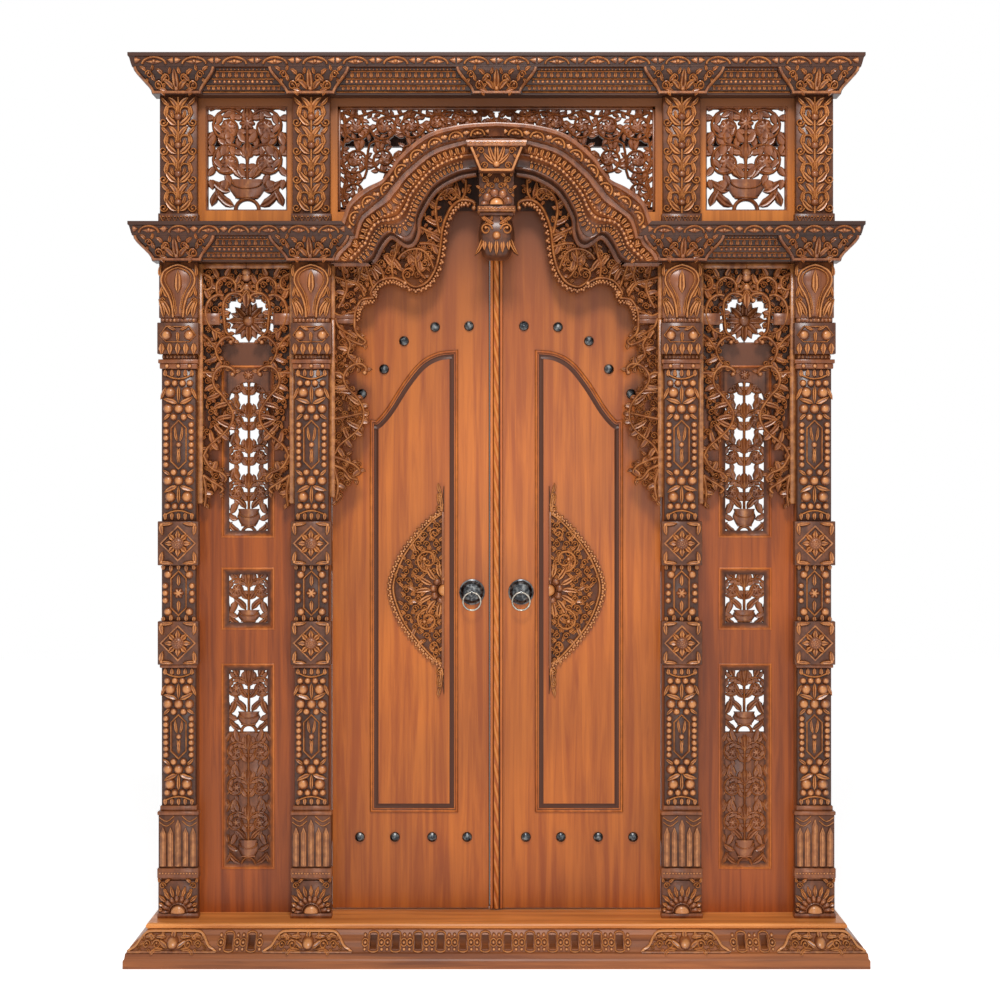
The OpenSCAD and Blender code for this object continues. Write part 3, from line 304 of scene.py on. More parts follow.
def sprig(carving, x, z, r, side, face, rise, back):
    """A spiral of radius r with three leaves round it; side mirrors it."""
    volute(carving, x, z, r, 90 - side * 90, side * 1.25, r * 0.5, face, rise, back, 13)
    for dx, dz, angle, length, width in SPRIG_LEAVES:
        leaf(carving, x + side * dx * r, z + dz * r, 90 - side * (90 - angle), length * r, width * r,
             face, rise, back, -0.8 * side, 3, 7)


# %% Turned forms, blocks and plates
def revolve(carving, x, z, face, radii, heights, around=16, tone=(0.3, 1.0)):
    """Profile of radius and height turned about the axis that comes out of the face."""
    radii, heights = np.asarray(radii, float), np.asarray(heights, float)
    a = np.arange(around) / around * 2 * np.pi
    ring = np.stack([x + radii[:, None] * np.cos(a), face - heights[:, None] + 0 * a,
                     z + radii[:, None] * np.sin(a)], axis=-1)
    lift = np.clip(heights / max(heights.max(), 1e-6), 0, 1)
    carving.tube(ring, (tone[0] + (tone[1] - tone[0]) * lift)[:, None])


def dome_profile(r, h, rings=4):
    """Radii and heights of a quarter ellipse that starts a millimetre below the face."""
    a = np.linspace(0, np.pi / 2 * 0.95, rings + 1)
    return np.concatenate([[r], r * np.cos(a)]), np.concatenate([[-1.0], h * np.sin(a)])


def beads(carving, x, z, r, face, h=None):
    """Round beads of radius r, set at many points at once; small ones have fewer faces."""
    motif = Carving()
    rings, around = (2, 8) if r < 5.5 else (3, 10) if r < 12 else (4, 16)
    revolve(motif, 0, 0, 0, *dome_profile(r, h or r * 0.9, rings), around)
    carving.scatter(motif, x, z, face)


def backed(carving, front, relief, back):
    """Round surface whose outer edge is carried straight back to the ground."""
    rear = front[-1:].copy()
    rear[..., 1] = back
    carving.tube(np.concatenate([front, rear]), np.concatenate([relief, 0 * relief[:1]]))


def rosette(carving, x, z, r, petals, face, height, back):
    """Flower as one surface: radius and height swell with the cosine of the petal angle."""
    rho = np.linspace(0.05, 1, 8)[:, None]
    a = np.linspace(0, 2 * np.pi, petals * 6, endpoint=False)[None, :]
    swell = np.abs(np.cos(petals * a / 2)) ** 0.7
    radius = r * rho * (1 - 0.3 * (1 - swell) * rho ** 2)
    petal = (0.45 + 0.5 * swell) * np.sin(np.pi * rho ** 0.9) ** 0.6
    lift = np.where(rho < 0.34, 1.15 - 1.2 * rho ** 2, np.where(rho > 0.99, 0.12, petal))
    front = np.stack([x + radius * np.cos(a), face - height * lift, z + radius * np.sin(a)], axis=-1)
    backed(carving, front, 0.15 + 0.8 * np.clip(lift, 0, 1), back)


def block(carving, x0, x1, d0, d1, z0, z1, chamfer, tone):
    """Squared block with chamfered edges: three points at each corner, one per face."""
    bits = np.array([[i & 1, i >> 1 & 1, i >> 2 & 1] for i in range(8)])
    lo, hi = np.array([x0, d0, z0], float), np.array([x1, d1, z1], float)
    corner = np.where(bits == 1, hi, lo)
    inward = np.where(bits == 1, -chamfer, chamfer)
    keep = 1 - np.eye(3)
    points = (corner[None] + inward[None] * keep[:, None]).reshape(-1, 3)
    quads = []
    round_face = ((0, 0), (1, 0), (1, 1), (0, 1))
    for k, i, j in ((0, 1, 2), (1, 0, 2), (2, 0, 1)):
        for s in (0, 1):
            quads.append([8 * k + (s << k) + (a << i) + (b << j) for a, b in round_face])
    for k, i, j in ((0, 1, 2), (0, 2, 1), (1, 2, 0)):
        for a, b in ((0, 0), (0, 1), (1, 0), (1, 1)):
            foot = (a << k) + (b << i)
            quads.append([8 * k + foot, 8 * k + foot + (1 << j), 8 * i + foot + (1 << j), 8 * i + foot])
    tips = np.arange(8)[:, None] + np.array([0, 8, 16])
    carving.add(points, np.full(24, tone), quads, tips)


def plate(carving, outline, front, back, bevel, tone):
    """Flat piece of any outline: the edge rises straight and then leans in over the bevel."""
    p = np.asarray(outline, float)
    t = np.roll(p, -1, axis=0) - np.roll(p, 1, axis=0)
    t /= np.linalg.norm(t, axis=1, keepdims=True) + 1e-9
    area = np.sum(p[:, 0] * np.roll(p[:, 1], -1) - np.roll(p[:, 0], -1) * p[:, 1])
    inner = p + np.sign(area) * bevel * np.stack([-t[:, 1], t[:, 0]], axis=1)
    rings = [(p, back), (p, front + bevel), (inner, front)]
    ring = np.stack([np.stack([q[:, 0], np.full(len(q), d), q[:, 1]], axis=1) for q, d in rings])
    carving.tube(ring, np.array([[0.0], [tone[0]], [tone[1]]]))


def loop_moulding(carving, outline, profile, tone=(0.3, 0.9)):
    """Moulding round a closed outline: profile points are (inset, depth), mitred at the corners."""
    p = np.asarray(outline, float)
    e = np.roll(p, -1, axis=0) - p
    e /= np.linalg.norm(e, axis=1, keepdims=True)
    n = np.stack([-e[:, 1], e[:, 0]], axis=1)
    before = np.roll(n, 1, axis=0)
    mitre = (n + before) / (1 + np.sum(n * before, axis=1, keepdims=True))
    area = np.sum(p[:, 0] * np.roll(p[:, 1], -1) - np.roll(p[:, 0], -1) * p[:, 1])
    profile = np.asarray(profile, float)
    xz = p[:, None] + np.sign(area) * mitre[:, None] * profile[None, :, :1]
    ring = np.stack([xz[..., 0], np.broadcast_to(profile[:, 1], xz.shape[:2]), xz[..., 1]], axis=-1)
    d = profile[:, 1]
    lift = (d.max() - d) / max(np.ptp(d), 1e-6)
    rows, m = ring.shape[:2]
    quads = tube_faces(rows + 1, m) % (rows * m)
    carving.add(ring.reshape(-1, 3), np.tile(tone[0] + (tone[1] - tone[0]) * lift, rows), quads)


def rectangle(x0, x1, z0, z1):
    """Corners of an upright rectangle."""
    return np.array([[x0, z0], [x1, z0], [x1, z1], [x0, z1]], float)


# %% Turning a carving into a piece
SHARP = 50


def make_piece(name, carving, material, body="frame", instead_of=(), tone=1.0):
    """Mesh in metres, faces turned outwards, riding on its body, with relief times tone as an attribute."""
    points, relief = carving.merged()
    xyz = np.stack([points[:, 0], FRONT + points[:, 1], points[:, 2]], axis=1) * MM
    mesh = bpy.data.meshes.new(name)
    mesh.from_pydata(xyz, [], [f for faces in carving.faces for f in faces.tolist()])
    bm = bmesh.new()
    bm.from_mesh(mesh)
    bmesh.ops.recalc_face_normals(bm, faces=bm.faces)
    bm.to_mesh(mesh)
    bm.free()
    # Relief times tone drives the carved finishes: low values get painted shade, high ones a painted
    # highlight.
    values = mesh.attributes.new("relief", "FLOAT", "POINT").data
    values.foreach_set("value", (relief * tone).astype(np.float32))
    mesh.shade_smooth()
    mesh.set_sharp_from_angle(angle=math.radians(SHARP))
    mesh.materials.append(material)
    piece = bpy.data.objects.new(name, mesh)
    bpy.context.scene.collection.objects.link(piece)
    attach(piece, body)
    if instead_of:
        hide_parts(*instead_of)
    print(f"{name}: {len(mesh.polygons)} faces")


# %% [markdown]
# ## Finishes
# Oiled and varnished teak: long streaks along the grain, slow drifts of tone from board to board, and on
# carving painted shade in the ground with a pale painted highlight on the crests, partly standing for rubbed
# wear.
# The figure of the wood and this painted light are node groups, so each finish is the same recipe with its
# own colours.


# %% Node helpers
def srgb(r, g, b):
    """Linear colour of an 8-bit screen colour."""
    c = np.array([r, g, b]) / 255.0
    return tuple(np.where(c <= 0.04045, c / 12.92, ((c + 0.055) / 1.055) ** 2.4)) + (1.0,)


def fill(tree, made, inputs):
    """Inputs of a node: each takes a value or a link from a socket."""
    for key, value in inputs.items():
        if isinstance(value, bpy.types.NodeSocket):
            tree.links.new(value, made.inputs[key])
        else:
            made.inputs[key].default_value = value


def node(tree, kind, inputs=None, **settings):
    """New node with its settings and inputs."""
    made = tree.nodes.new(kind)
    for key, value in settings.items():
        setattr(made, key, value)
    fill(tree, made, inputs or {})
    return made


def new_group(name, inputs, outputs):
    """Empty node group with its sockets: the tree, what comes in and what goes out."""
    tree = bpy.data.node_groups.new(name, "ShaderNodeTree")
    for direction, sockets in (("INPUT", inputs), ("OUTPUT", outputs)):
        for label, kind in sockets:
            tree.interface.new_socket(label, in_out=direction, socket_type="NodeSocket" + kind)
    return tree, tree.nodes.new("NodeGroupInput").outputs, tree.nodes.new("NodeGroupOutput").inputs


def new_material(name):
    """Empty finish: the material, its node tree and its shader."""
    material = bpy.data.materials.new(name)
    material.use_nodes = True
    return material, material.node_tree, material.node_tree.nodes["Principled BSDF"]


def mix_colour(tree, fac, a, b):
    """Colour between a and b; sockets 0, 6 and 7 of the mix node are share, first and second colour."""
    return node(tree, "ShaderNodeMix", {0: fac, 6: a, 7: b}, data_type="RGBA").outputs[2]


def noise(tree, place, scale, detail, more=None):
    """Cloudy value between 0 and 1."""
    inputs = {"Vector": place, "Scale": scale, "Detail": detail} | (more or {})
    return node(tree, "ShaderNodeTexNoise", inputs).outputs["Fac"]


def ramp(tree, fac, lo, hi, to_lo=0.0, to_hi=1.0):
    """Soft step of a value from lo to hi."""
    return node(tree, "ShaderNodeMapRange", {"Value": fac, "From Min": lo, "From Max": hi,
                                             "To Min": to_lo, "To Max": to_hi},
                interpolation_type="SMOOTHSTEP").outputs["Result"]


# %% Figure of the wood
def build_figure():
    """Streaks: noise drawn out along the grain, darker pores, and a slow drift of tone."""
    tree, given, result = new_group(
        "teak_figure", [("Vector", "Vector"), ("Place", "Vector"), ("Light", "Color"), ("Dark", "Color")],
        [("Color", "Color"), ("Height", "Float")])
    streak = noise(tree, given["Vector"], 1.0, 7.0, {"Roughness": 0.62, "Distortion": 0.5})
    pores = noise(tree, given["Vector"], 6.0, 3.0, {"Roughness": 0.5})
    drift = noise(tree, given["Place"], 2.3, 2.0)
    tone = mix_colour(tree, ramp(tree, streak, 0.32, 0.68), given["Dark"], given["Light"])
    pored = mix_colour(tree, ramp(tree, pores, 0.62, 0.8, 0.0, 0.35), tone, given["Dark"])
    drifted = node(tree, "ShaderNodeHueSaturation",
                   {"Color": pored, "Value": ramp(tree, drift, 0.3, 0.7, 0.86, 1.1)})
    tree.links.new(drifted.outputs["Color"], result["Color"])
    tree.links.new(ramp(tree, pores, 0.35, 0.75), result["Height"])
    return tree


def build_painted_relief_light():
    """Painted light by relief: painted shade nearly black in the ground, the wood on the flanks, a pale
    painted highlight on the crests that partly stands for rubbed wear.
    """
    tree, given, result = new_group(
        "carver_stain", [("Color", "Color"), ("Relief", "Float"), ("Place", "Vector"), ("Ground", "Color"),
                         ("Crest", "Color")],
        [("Color", "Color"), ("Roughness", "Float")])
    # Noise nudges the relief, so the edges of the painted shade and highlight wander a little.
    mask_noise = ramp(tree, noise(tree, given["Place"], 55.0, 3.0), 0.3, 0.7, -0.06, 0.06)
    shaken = node(tree, "ShaderNodeMath", {0: given["Relief"], 1: mask_noise}).outputs[0]
    flank = mix_colour(tree, ramp(tree, shaken, 0.05, 0.6), given["Ground"], given["Color"])
    crest = mix_colour(tree, ramp(tree, shaken, 0.7, 1.0, 0.0, 0.85), flank, given["Crest"])
    tree.links.new(crest, result["Color"])
    tree.links.new(ramp(tree, shaken, 0.1, 0.9, 0.62, 0.33), result["Roughness"])
    return tree


FIGURE = build_figure()
PAINTED_RELIEF_LIGHT = build_painted_relief_light()
ALONG = {"upright": (38.0, 38.0, 1.6), "level": (1.6, 38.0, 38.0)}


def teak(name, light, dark, grain="upright", rough=0.42, coat=0.12, carved=None, shade=None):
    """Teak finish; carved gives the colours of painted shade in the ground and of a painted highlight on the
    crests, and shade gives two heights and the colour of the painted shade above them.
    """
    material, tree, shader = new_material(name)
    place = node(tree, "ShaderNodeTexCoord").outputs["Object"]
    grained = node(tree, "ShaderNodeMapping", {"Vector": place, "Scale": ALONG[grain]}).outputs["Vector"]
    figure = node(tree, "ShaderNodeGroup", {"Vector": grained, "Place": place, "Light": srgb(*light),
                                            "Dark": srgb(*dark)}, node_tree=FIGURE).outputs
    colour = figure["Color"]
    # Painted shade in the ground and painted highlight on the crests, chosen by the relief attribute.
    if carved:
        relief = node(tree, "ShaderNodeAttribute", attribute_name="relief").outputs["Fac"]
        relief_light = node(tree, "ShaderNodeGroup", {"Color": colour, "Relief": relief, "Place": place,
                                               "Ground": srgb(*carved[0]), "Crest": srgb(*carved[1])},
                     node_tree=PAINTED_RELIEF_LIGHT).outputs
        colour, rough = relief_light["Color"], relief_light["Roughness"]
    # Painted shade: above the first height the colour darkens towards the given one, for shade cast from
    # above.
    if shade:
        height = node(tree, "ShaderNodeSeparateXYZ", {0: place}).outputs["Z"]
        colour = mix_colour(tree, ramp(tree, height, shade[0], shade[1]), colour, srgb(*shade[2]))
    bump = node(tree, "ShaderNodeBump", {"Height": figure["Height"], "Strength": 0.12, "Distance": 0.0008})
    fill(tree, shader, {"Base Color": colour, "Roughness": rough, "Coat Weight": coat, "Coat Roughness": 0.22,
                        "Specular IOR Level": 0.35, "Normal": bump.outputs["Normal"]})
    return material


def iron(name, colour, spot, rough):
    """Old metal: dark skin with paler rubbed spots and uneven gloss."""
    material, tree, shader = new_material(name)
    cloud = noise(tree, node(tree, "ShaderNodeTexCoord").outputs["Object"], 90.0, 5.0)
    spotted = mix_colour(tree, ramp(tree, cloud, 0.4, 0.7), srgb(*colour), srgb(*spot))
    gloss = ramp(tree, cloud, 0.3, 0.7, rough, rough + 0.2)
    fill(tree, shader, {"Base Color": spotted, "Roughness": gloss, "Metallic": 1.0})
    return material


# Painted shade on the upper leaves, for the shadow of the arch.
LEAF_TEAK = teak("leaf_teak", (194, 105, 30), (154, 72, 14), shade=(1.7, 2.3, (116, 58, 22)))
# Painted shade on the upper wing frames, for the shade behind the fretwork.
WING_TEAK = teak("wing_teak", (168, 82, 20), (124, 54, 10), shade=(1.36, 1.82, (98, 52, 25)))
# Painted shade towards the top of the upper storey, for the shade under the crown cornice.
UPPER_TEAK = teak("upper_teak", (212, 124, 44), (178, 98, 28), shade=(2.24, 2.57, (132, 74, 30)))
BASE_TEAK = teak("base_teak", (160, 92, 44), (112, 58, 24), grain="level")
LEVEL_TEAK = teak("level_teak", (238, 154, 78), (196, 114, 50), grain="level")
DIM_TEAK = teak("dim_teak", (72, 37, 17), (46, 21, 9), grain="level")
# Carved and edged finishes: the ground colour is painted shade in the recesses, the crest colour a painted
# highlight that partly stands for rubbed wear.
CARVED_TEAK = teak("carved_teak", (146, 82, 40), (100, 50, 22), coat=0.35,
                   carved=((46, 18, 4), (216, 144, 82)))
EDGED_TEAK = teak("edged_teak", (206, 116, 44), (166, 80, 22), carved=((74, 34, 10), (214, 134, 66)))
# Dark teak; on the backboard behind the fretwork and on the block behind the leaves' gap it is painted shade.
DARK_TEAK = teak("dark_teak", (84, 46, 24), (54, 27, 13), rough=0.6, coat=0.0)
IRON = iron("dark_iron", (52, 54, 57), (120, 121, 120), 0.22)
STEEL = iron("ring_steel", (150, 146, 136), (196, 190, 176), 0.22)
print("finishes:", len(bpy.data.materials))

# %% [markdown]
# ## Finishes for the plain solids
# Boards that stay as they are take their finish here: upright grain on stiles and leaves, level grain
# on cornices and sill.

# %% Give the solids their finish
# The backboard behind the fretwork takes the dark finish as painted shade.
FINISH = {"cornice": DIM_TEAK, "moulding": BASE_TEAK, "sill": LEVEL_TEAK, "beam": DARK_TEAK,
          "backboard": DARK_TEAK, "keystone": DIM_TEAK, "boss": IRON, "studs": IRON, "straps": IRON,
          "guide": IRON, "ring": STEEL, "bolt": STEEL, "leaf": LEAF_TEAK, "wing": WING_TEAK}


def finish_for(name):
    """Finish of the last word of a name that has one; the upper storey's for all others."""
    found = [FINISH[word] for word in name.split("_") if word in FINISH]
    return found[-1] if found else UPPER_TEAK


for name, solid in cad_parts.items():
    solid.data.materials.clear()
    solid.data.materials.append(finish_for(name))
print("solids with a finish:", len(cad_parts))


def carve(solid, carving, body="frame", tone=1.0):
    """Carved piece in place of a solid, named after it."""
    make_piece("carved_" + solid, carving, CARVED_TEAK, body, instead_of=[solid], tone=tone)


POSTS = [("outer_left", -OUTER_X), ("inner_left", -INNER_X), ("inner_right", INNER_X),
         ("outer_right", OUTER_X)]
SIDES = [("left", -1), ("right", 1)]

# %% [markdown]
# ## The four lower posts
# Each post is a squared core with a carved front built up of blocks: a foot with a half sun, a pedestal
# with pickets, two beaded shafts, two flower blocks and a cushion. A carver would cut all this from one
# timber; here the blocks are set first and the beads, leaves and flowers are laid on them.

# %% Blocks of a post
SEGMENTS = [(0, 15, 124, -6), (15, 112, 119, -1), (112, 120, 108, 6), (120, 150, 124, -6),
            (150, 309, 118, 0), (309, 320, 124, -4), (320, 336, 110, 4), (336, 750, 102, 9),
            (750, 760, 112, 2), (760, 890, 122, -4), (890, 1058, 102, 9), (1058, 1190, 122, -4),
            (1190, 1648, 102, 9), (1648, 1664, 112, 2), (1664, 1676, 120, -2), (1676, 1692, 98, 12),
            (1692, 1786, 124, -6), (1786, 1800, 108, 4)]
BEAD_ROWS = [(185, 11, (-34, -11.5, 11.5, 34)), (157, 16.5, (-25, 25)), (108, 15, (-32, 0, 32)),
             (83, 11.5, (-15, 15))]
SHAFT = 9.0
# Heights are drawn for a post and a shaft of these lengths, and k scales them to the real ones.
POST_DRAWN, SHAFT_DRAWN = 1800.0, 456.0
CORE_FRONT, POST_BACK = 29.0, 153.0
RELIEF_BACK = CORE_FRONT + 2
HEXAGON_RIM = [(0, 10), (0, 4), (2, 2), (4, 4), (6, 10)]


def hexagon(z, half_width, half_height):
    """Upright hexagon with right-angled tips about a height on the middle line."""
    k = half_height - half_width
    return np.array([[-half_width, z - k], [0, z - half_height], [half_width, z - k],
                     [half_width, z + k], [0, z + half_height], [-half_width, z + k]], float)


def shaft(work, z0, z1):
    """Beaded shaft, the same above and below its middle: rows of beads, wing leaves, a long cartouche."""
    mid, k = (z0 + z1) / 2, (z1 - z0) / SHAFT_DRAWN
    for s in (-1, 1):
        for off, r, places in BEAD_ROWS:
            beads(work, places, np.full(len(places), mid + s * off * k), r, SHAFT)
        leaf(work, 0, mid + s * 176 * k, -90 * s, 52 * k, 16, SHAFT, 7, SHAFT + 1, bend=0)
        for side in (-1, 1):
            leaf(work, side * 4, mid + s * 124 * k, 90 - side * (90 - s * 22), 44, 20,
                 SHAFT, 7, SHAFT + 1, 0.3)
            leaf(work, side * 26, mid + s * 92 * k, 90 - side * 90 - s * side * 40, 26, 14,
                 SHAFT, 6, SHAFT + 1, 0.3)
            leaf(work, side * 38, mid + s * 172 * k, -90 * s + side * 24, 40 * k, 14, SHAFT, 6, SHAFT + 1, 0)
        tendril(work, [(-46, mid + s * 214 * k), (-22, mid + s * 202 * k), (0, mid + s * 198 * k),
                       (22, mid + s * 202 * k), (46, mid + s * 214 * k)], 6, 6, SHAFT, SHAFT + 1, rise=6)
        for x in (-40, -20, 0, 20, 40):
            leaf(work, x, mid + s * 205 * k, 90 * s, 21 * k, 17, SHAFT, 6, SHAFT + 1, 0, 1, 7)
    places = np.arange(-3, 4) * 20 * k + mid
    beads(work, np.full(7, -38), places, 10.2, SHAFT)
    beads(work, np.full(7, 38), places, 10.2, SHAFT)
    loop_moulding(work, hexagon(mid, 25, 76 * k), HEXAGON_RIM)
    revolve(work, 0, mid, SHAFT, *dome_profile(9, 7), 12)
    for s in (-1, 1):
        for bend in (-14, 14):
            leaf(work, bend * 0.3, mid + s * 10, 90 * s - bend, 46 * k, 12,
                 SHAFT, 5, SHAFT + 1, 0.4 * np.sign(bend))


def flower_block(work, z, face):
    """Diamond lines round a flower of eight leaves with a beaded dome, leaf tips at the corners."""
    diamond = np.array([[55, z], [0, z + 55], [-55, z], [0, z - 55]], float)
    rim = [(0, face + 1), (0, face - 4), (2.5, face - 6), (5, face - 4), (5, face + 1)]
    loop_moulding(work, diamond, rim)
    for a in range(0, 360, 45):
        x, y = 13 * math.cos(math.radians(a)), 13 * math.sin(math.radians(a))
        leaf(work, x, z + y, a, 26, 22, face, 9 if a % 90 == 0 else 12, face + 1, 0, 2)
    revolve(work, 0, z, face, *dome_profile(22, 18), 20, (0.2, 0.6))
    for r, count in ((0.1, 1), (6, 6), (12, 10), (17, 14)):
        a = np.arange(count) / count * 2 * np.pi + r
        h = 17 * math.sqrt(1 - (r / 20) ** 2)
        beads(work, r * np.cos(a), z + r * np.sin(a), 2.6, face - h + 0.8, 2.2)
    for side in (-1, 1):
        for s in (-1, 1):
            leaf(work, side * 50, z + s * 58, -90 * s, 34, 18, face, 6, face + 1, -0.4 * side * s)
            leaf(work, side * 54, z + s * 58, 90 + side * 90, 40, 14, face, 6, face + 1, -0.3 * side * s)
            beads(work, [side * 50], [z + s * 56], 6, face)


def half_sun(work, x, z, r, face, height, back, rays):
    """Half sun from 0 to 180 degrees: a dome, a ring and rays that swell with the sine of the ray angle."""
    rho = np.array([0.02, 0.2, 0.34, 0.44, 0.46, 0.5, 0.54, 0.57, 0.66, 0.78, 0.9, 0.97, 1.0])[:, None]
    a = np.linspace(0, np.pi, rays * 6 + 1)[None, :]
    ray = np.abs(np.sin(rays * a / 2)) ** 0.6
    radius = r * rho * np.where(rho > 0.6, 0.86 + 0.14 * ray, 1.0)
    dome = np.sqrt(np.clip(1 - (rho / 0.46) ** 2, 0, 1))
    ring = 0.35 * np.sin(np.pi * np.clip((rho - 0.46) / 0.1, 0, 1))
    petal = (0.1 + 0.4 * ray) * np.sin(np.pi * np.clip((rho - 0.55) / 0.46, 0, 1)) ** 0.5
    lift = np.maximum(np.maximum(dome + 0 * a, ring + 0 * a), petal)
    front = np.stack([x + radius * np.cos(a), face - height * lift, z + radius * np.sin(a)], axis=-1)
    backed(work, front, 0.08 + 0.92 * np.clip(lift * 1.7, 0, 1), back)


def short_shaft(work, k):
    """Stretch between the flower blocks: beads, a hexagon with a flower, leaf tips at both ends."""
    for z in (918, 1030):
        beads(work, [-32, 32], [z * k, z * k], 12.5, SHAFT)
    for x in (-40, 40):
        beads(work, [x, x, x], [952 * k, 974 * k, 996 * k], 10, SHAFT)
    loop_moulding(work, hexagon(974 * k, 25, 70), HEXAGON_RIM)
    rosette(work, 0, 974 * k, 17, 6, SHAFT, 9, SHAFT + 1)
    for s in (-1, 1):
        leaf(work, 0, (974 + s * 22) * k, 90 * s, 34, 16, SHAFT, 6, SHAFT + 1, 0)
        for x in (-46, -23, 0, 23, 46):
            leaf(work, x, (974 + s * 84) * k, -90 * s, 20 if x % 46 else 14, 18, SHAFT, 6, SHAFT + 1, 0, 1, 7)


def foot(work, k):
    """Half sun with a ring of leaves, and a sprig in each corner above."""
    half_sun(work, 0, 17 * k, 52, -1, 17, 1, 17)
    for a in range(10, 171, 16):
        t = math.radians(a)
        length = min(34, (58 - 48 * abs(math.cos(t))) / max(abs(math.cos(t)), 0.1))
        leaf(work, 48 * math.cos(t), 17 * k + 48 * math.sin(t), a, length, 15, -1, 8, 0, 0, 2, 9)
    for side in (-1, 1):
        sprig(work, side * 46, 98 * k, 10, -side, -1, 7, 0)


def pedestal(work, k):
    """Five pickets with pointed tops, the middle one taller, and drapes over them."""
    for x in (-45, -22.5, 0, 22.5, 45):
        h = (142 if x == 0 else 118) * k
        z = 156 * k
        for inset, front in ((0, -5), (3.6, -7.5)):
            w = 8.5 - inset
            plate(work, [(x - w, z), (x + w, z), (x + w, z + h - 20 - inset), (x, z + h - 2.2 * inset),
                         (x - w, z + h - 20 - inset)], front, 1, 1.5, (0.3, 0.85))
    for s in (-1, 1):
        for rise in (0, 14):
            tendril(work, [(s * 12, (292 - rise) * k + 14), (s * 34, (284 - rise) * k + 6),
                           (s * 56, (302 - rise) * k)], 4, 4, 0, 1, 3, rise=4)


def cushion(work, k):
    """Bordered block under the head of the post, with knobs, hanging petals and rows of teeth and beads."""
    beads(work, [-34, 34], [1748 * k, 1748 * k], 16, -6, 13)
    hexa = np.array([[-56, 1748], [-36, 1726], [36, 1726], [56, 1748], [36, 1776], [-36, 1776]]) * (1, k)
    loop_moulding(work, hexa, [(0, -5), (0, -9), (2, -11), (4, -9), (4, -5)])
    leaf(work, 0, 1758 * k, -90, 30, 16, -6, 8, -5, 0, 1)
    for side in (-1, 1):
        leaf(work, side * 6, 1764 * k, 90 - side * 70, 30, 12, -6, 6, -5, side * 0.4)
    for x in (-48, -24, 0, 24, 48):
        leaf(work, x, 1724 * k, -90, 34, 23, -6, 8, -5, 0, 2)
    places = np.linspace(-46, 46, 9)
    tooth = Carving()
    block(tooth, -3.4, 3.4, -5, 1, -5, 5, 1, 0.8)
    work.scatter(tooth, places, np.full(9, 1793 * k), 4)
    work.scatter(tooth, places, np.full(9, 1684 * k), 12)
    beads(work, [-34, 0, 34], [1656 * k] * 3, 7.5, 2)


def post_carving():
    """The whole post about x = 0, heights from the sill."""
    work = Carving()
    k = (HEAD - SILL) / POST_DRAWN
    block(work, -CORE, CORE, CORE_FRONT, POST_BACK, 0, HEAD - SILL, 2, 0.6)
    for z0, z1, width, front in SEGMENTS:
        tone = 0.2 if front == SHAFT else 0.3 if z1 - z0 > 60 else 0.7
        block(work, -width / 2, width / 2, front, RELIEF_BACK, z0 * k, z1 * k, 1.5, tone)
    shaft(work, 336 * k, 750 * k)
    shaft(work, 1192 * k, 1648 * k)
    short_shaft(work, k)
    flower_block(work, 825 * k, -4)
    flower_block(work, 1124 * k, -4)
    foot(work, k)
    pedestal(work, k)
    cushion(work, k)
    beads(work, np.linspace(-54, 54, 13), [135 * k] * 13, 4, -6, 3)
    return work


POST = post_carving()
for place, x in POSTS:
    carve(place + "_post", POST.moved(x=x, z=SILL))

# %% [markdown]
# ## The upper posts
# Above the lower posts sits a head with an onion-shaped cartouche, hidden behind the cornice for a hand's
# breadth, and above that a stem with arching leaves in four tiers.

# %% Heads and leafy stems
HEAD_STROKE = [(15, 2), (18, 34), (28, 66), (46, 98), (50, 118), (41, 140), (20, 154), (0, 160)]
HEAD_SWELL = 118
HEAD_LEAVES = [(6, 4, 84, 84, 13, -0.3), (26, 4, 74, 62, 22, -0.7), (44, 2, 84, 58, 20, -0.6),
               (54, 62, 100, 44, 13, 0.4), (52, 122, 80, 40, 14, 0.8), (30, 60, 60, 40, 16, 0.5)]
TIERS, TIER_FOOT = 4, 36
TIER_LEAVES = [(4, 6, 34, 50, 26, 0.9), (5, 56, 66, 42, 22, -0.9), (38, 30, 96, 42, 20, 0.5),
               (30, 66, 40, 30, 16, 0.6), (14, 26, 70, 26, 14, 0.4)]


def post_head(half):
    """Bulb with a double border on a bundle of long leaves; half of it, to be mirrored."""
    for scale, width in ((1.0, 9), (0.78, 5)):
        stroke = [(x * scale, HEAD + HEAD_SWELL + (z - HEAD_SWELL) * scale) for x, z in HEAD_STROKE]
        tendril(half, stroke, width, width, -2, 3, rise=7)
    for x, z, angle, length, width, bend in HEAD_LEAVES:
        leaf(half, x, HEAD + z, angle, length, width, 2, 8, 3, bend)
    volute(half, 48, HEAD + 52, 9, 180, -1.2, 5, 2, 8, 3, 16)


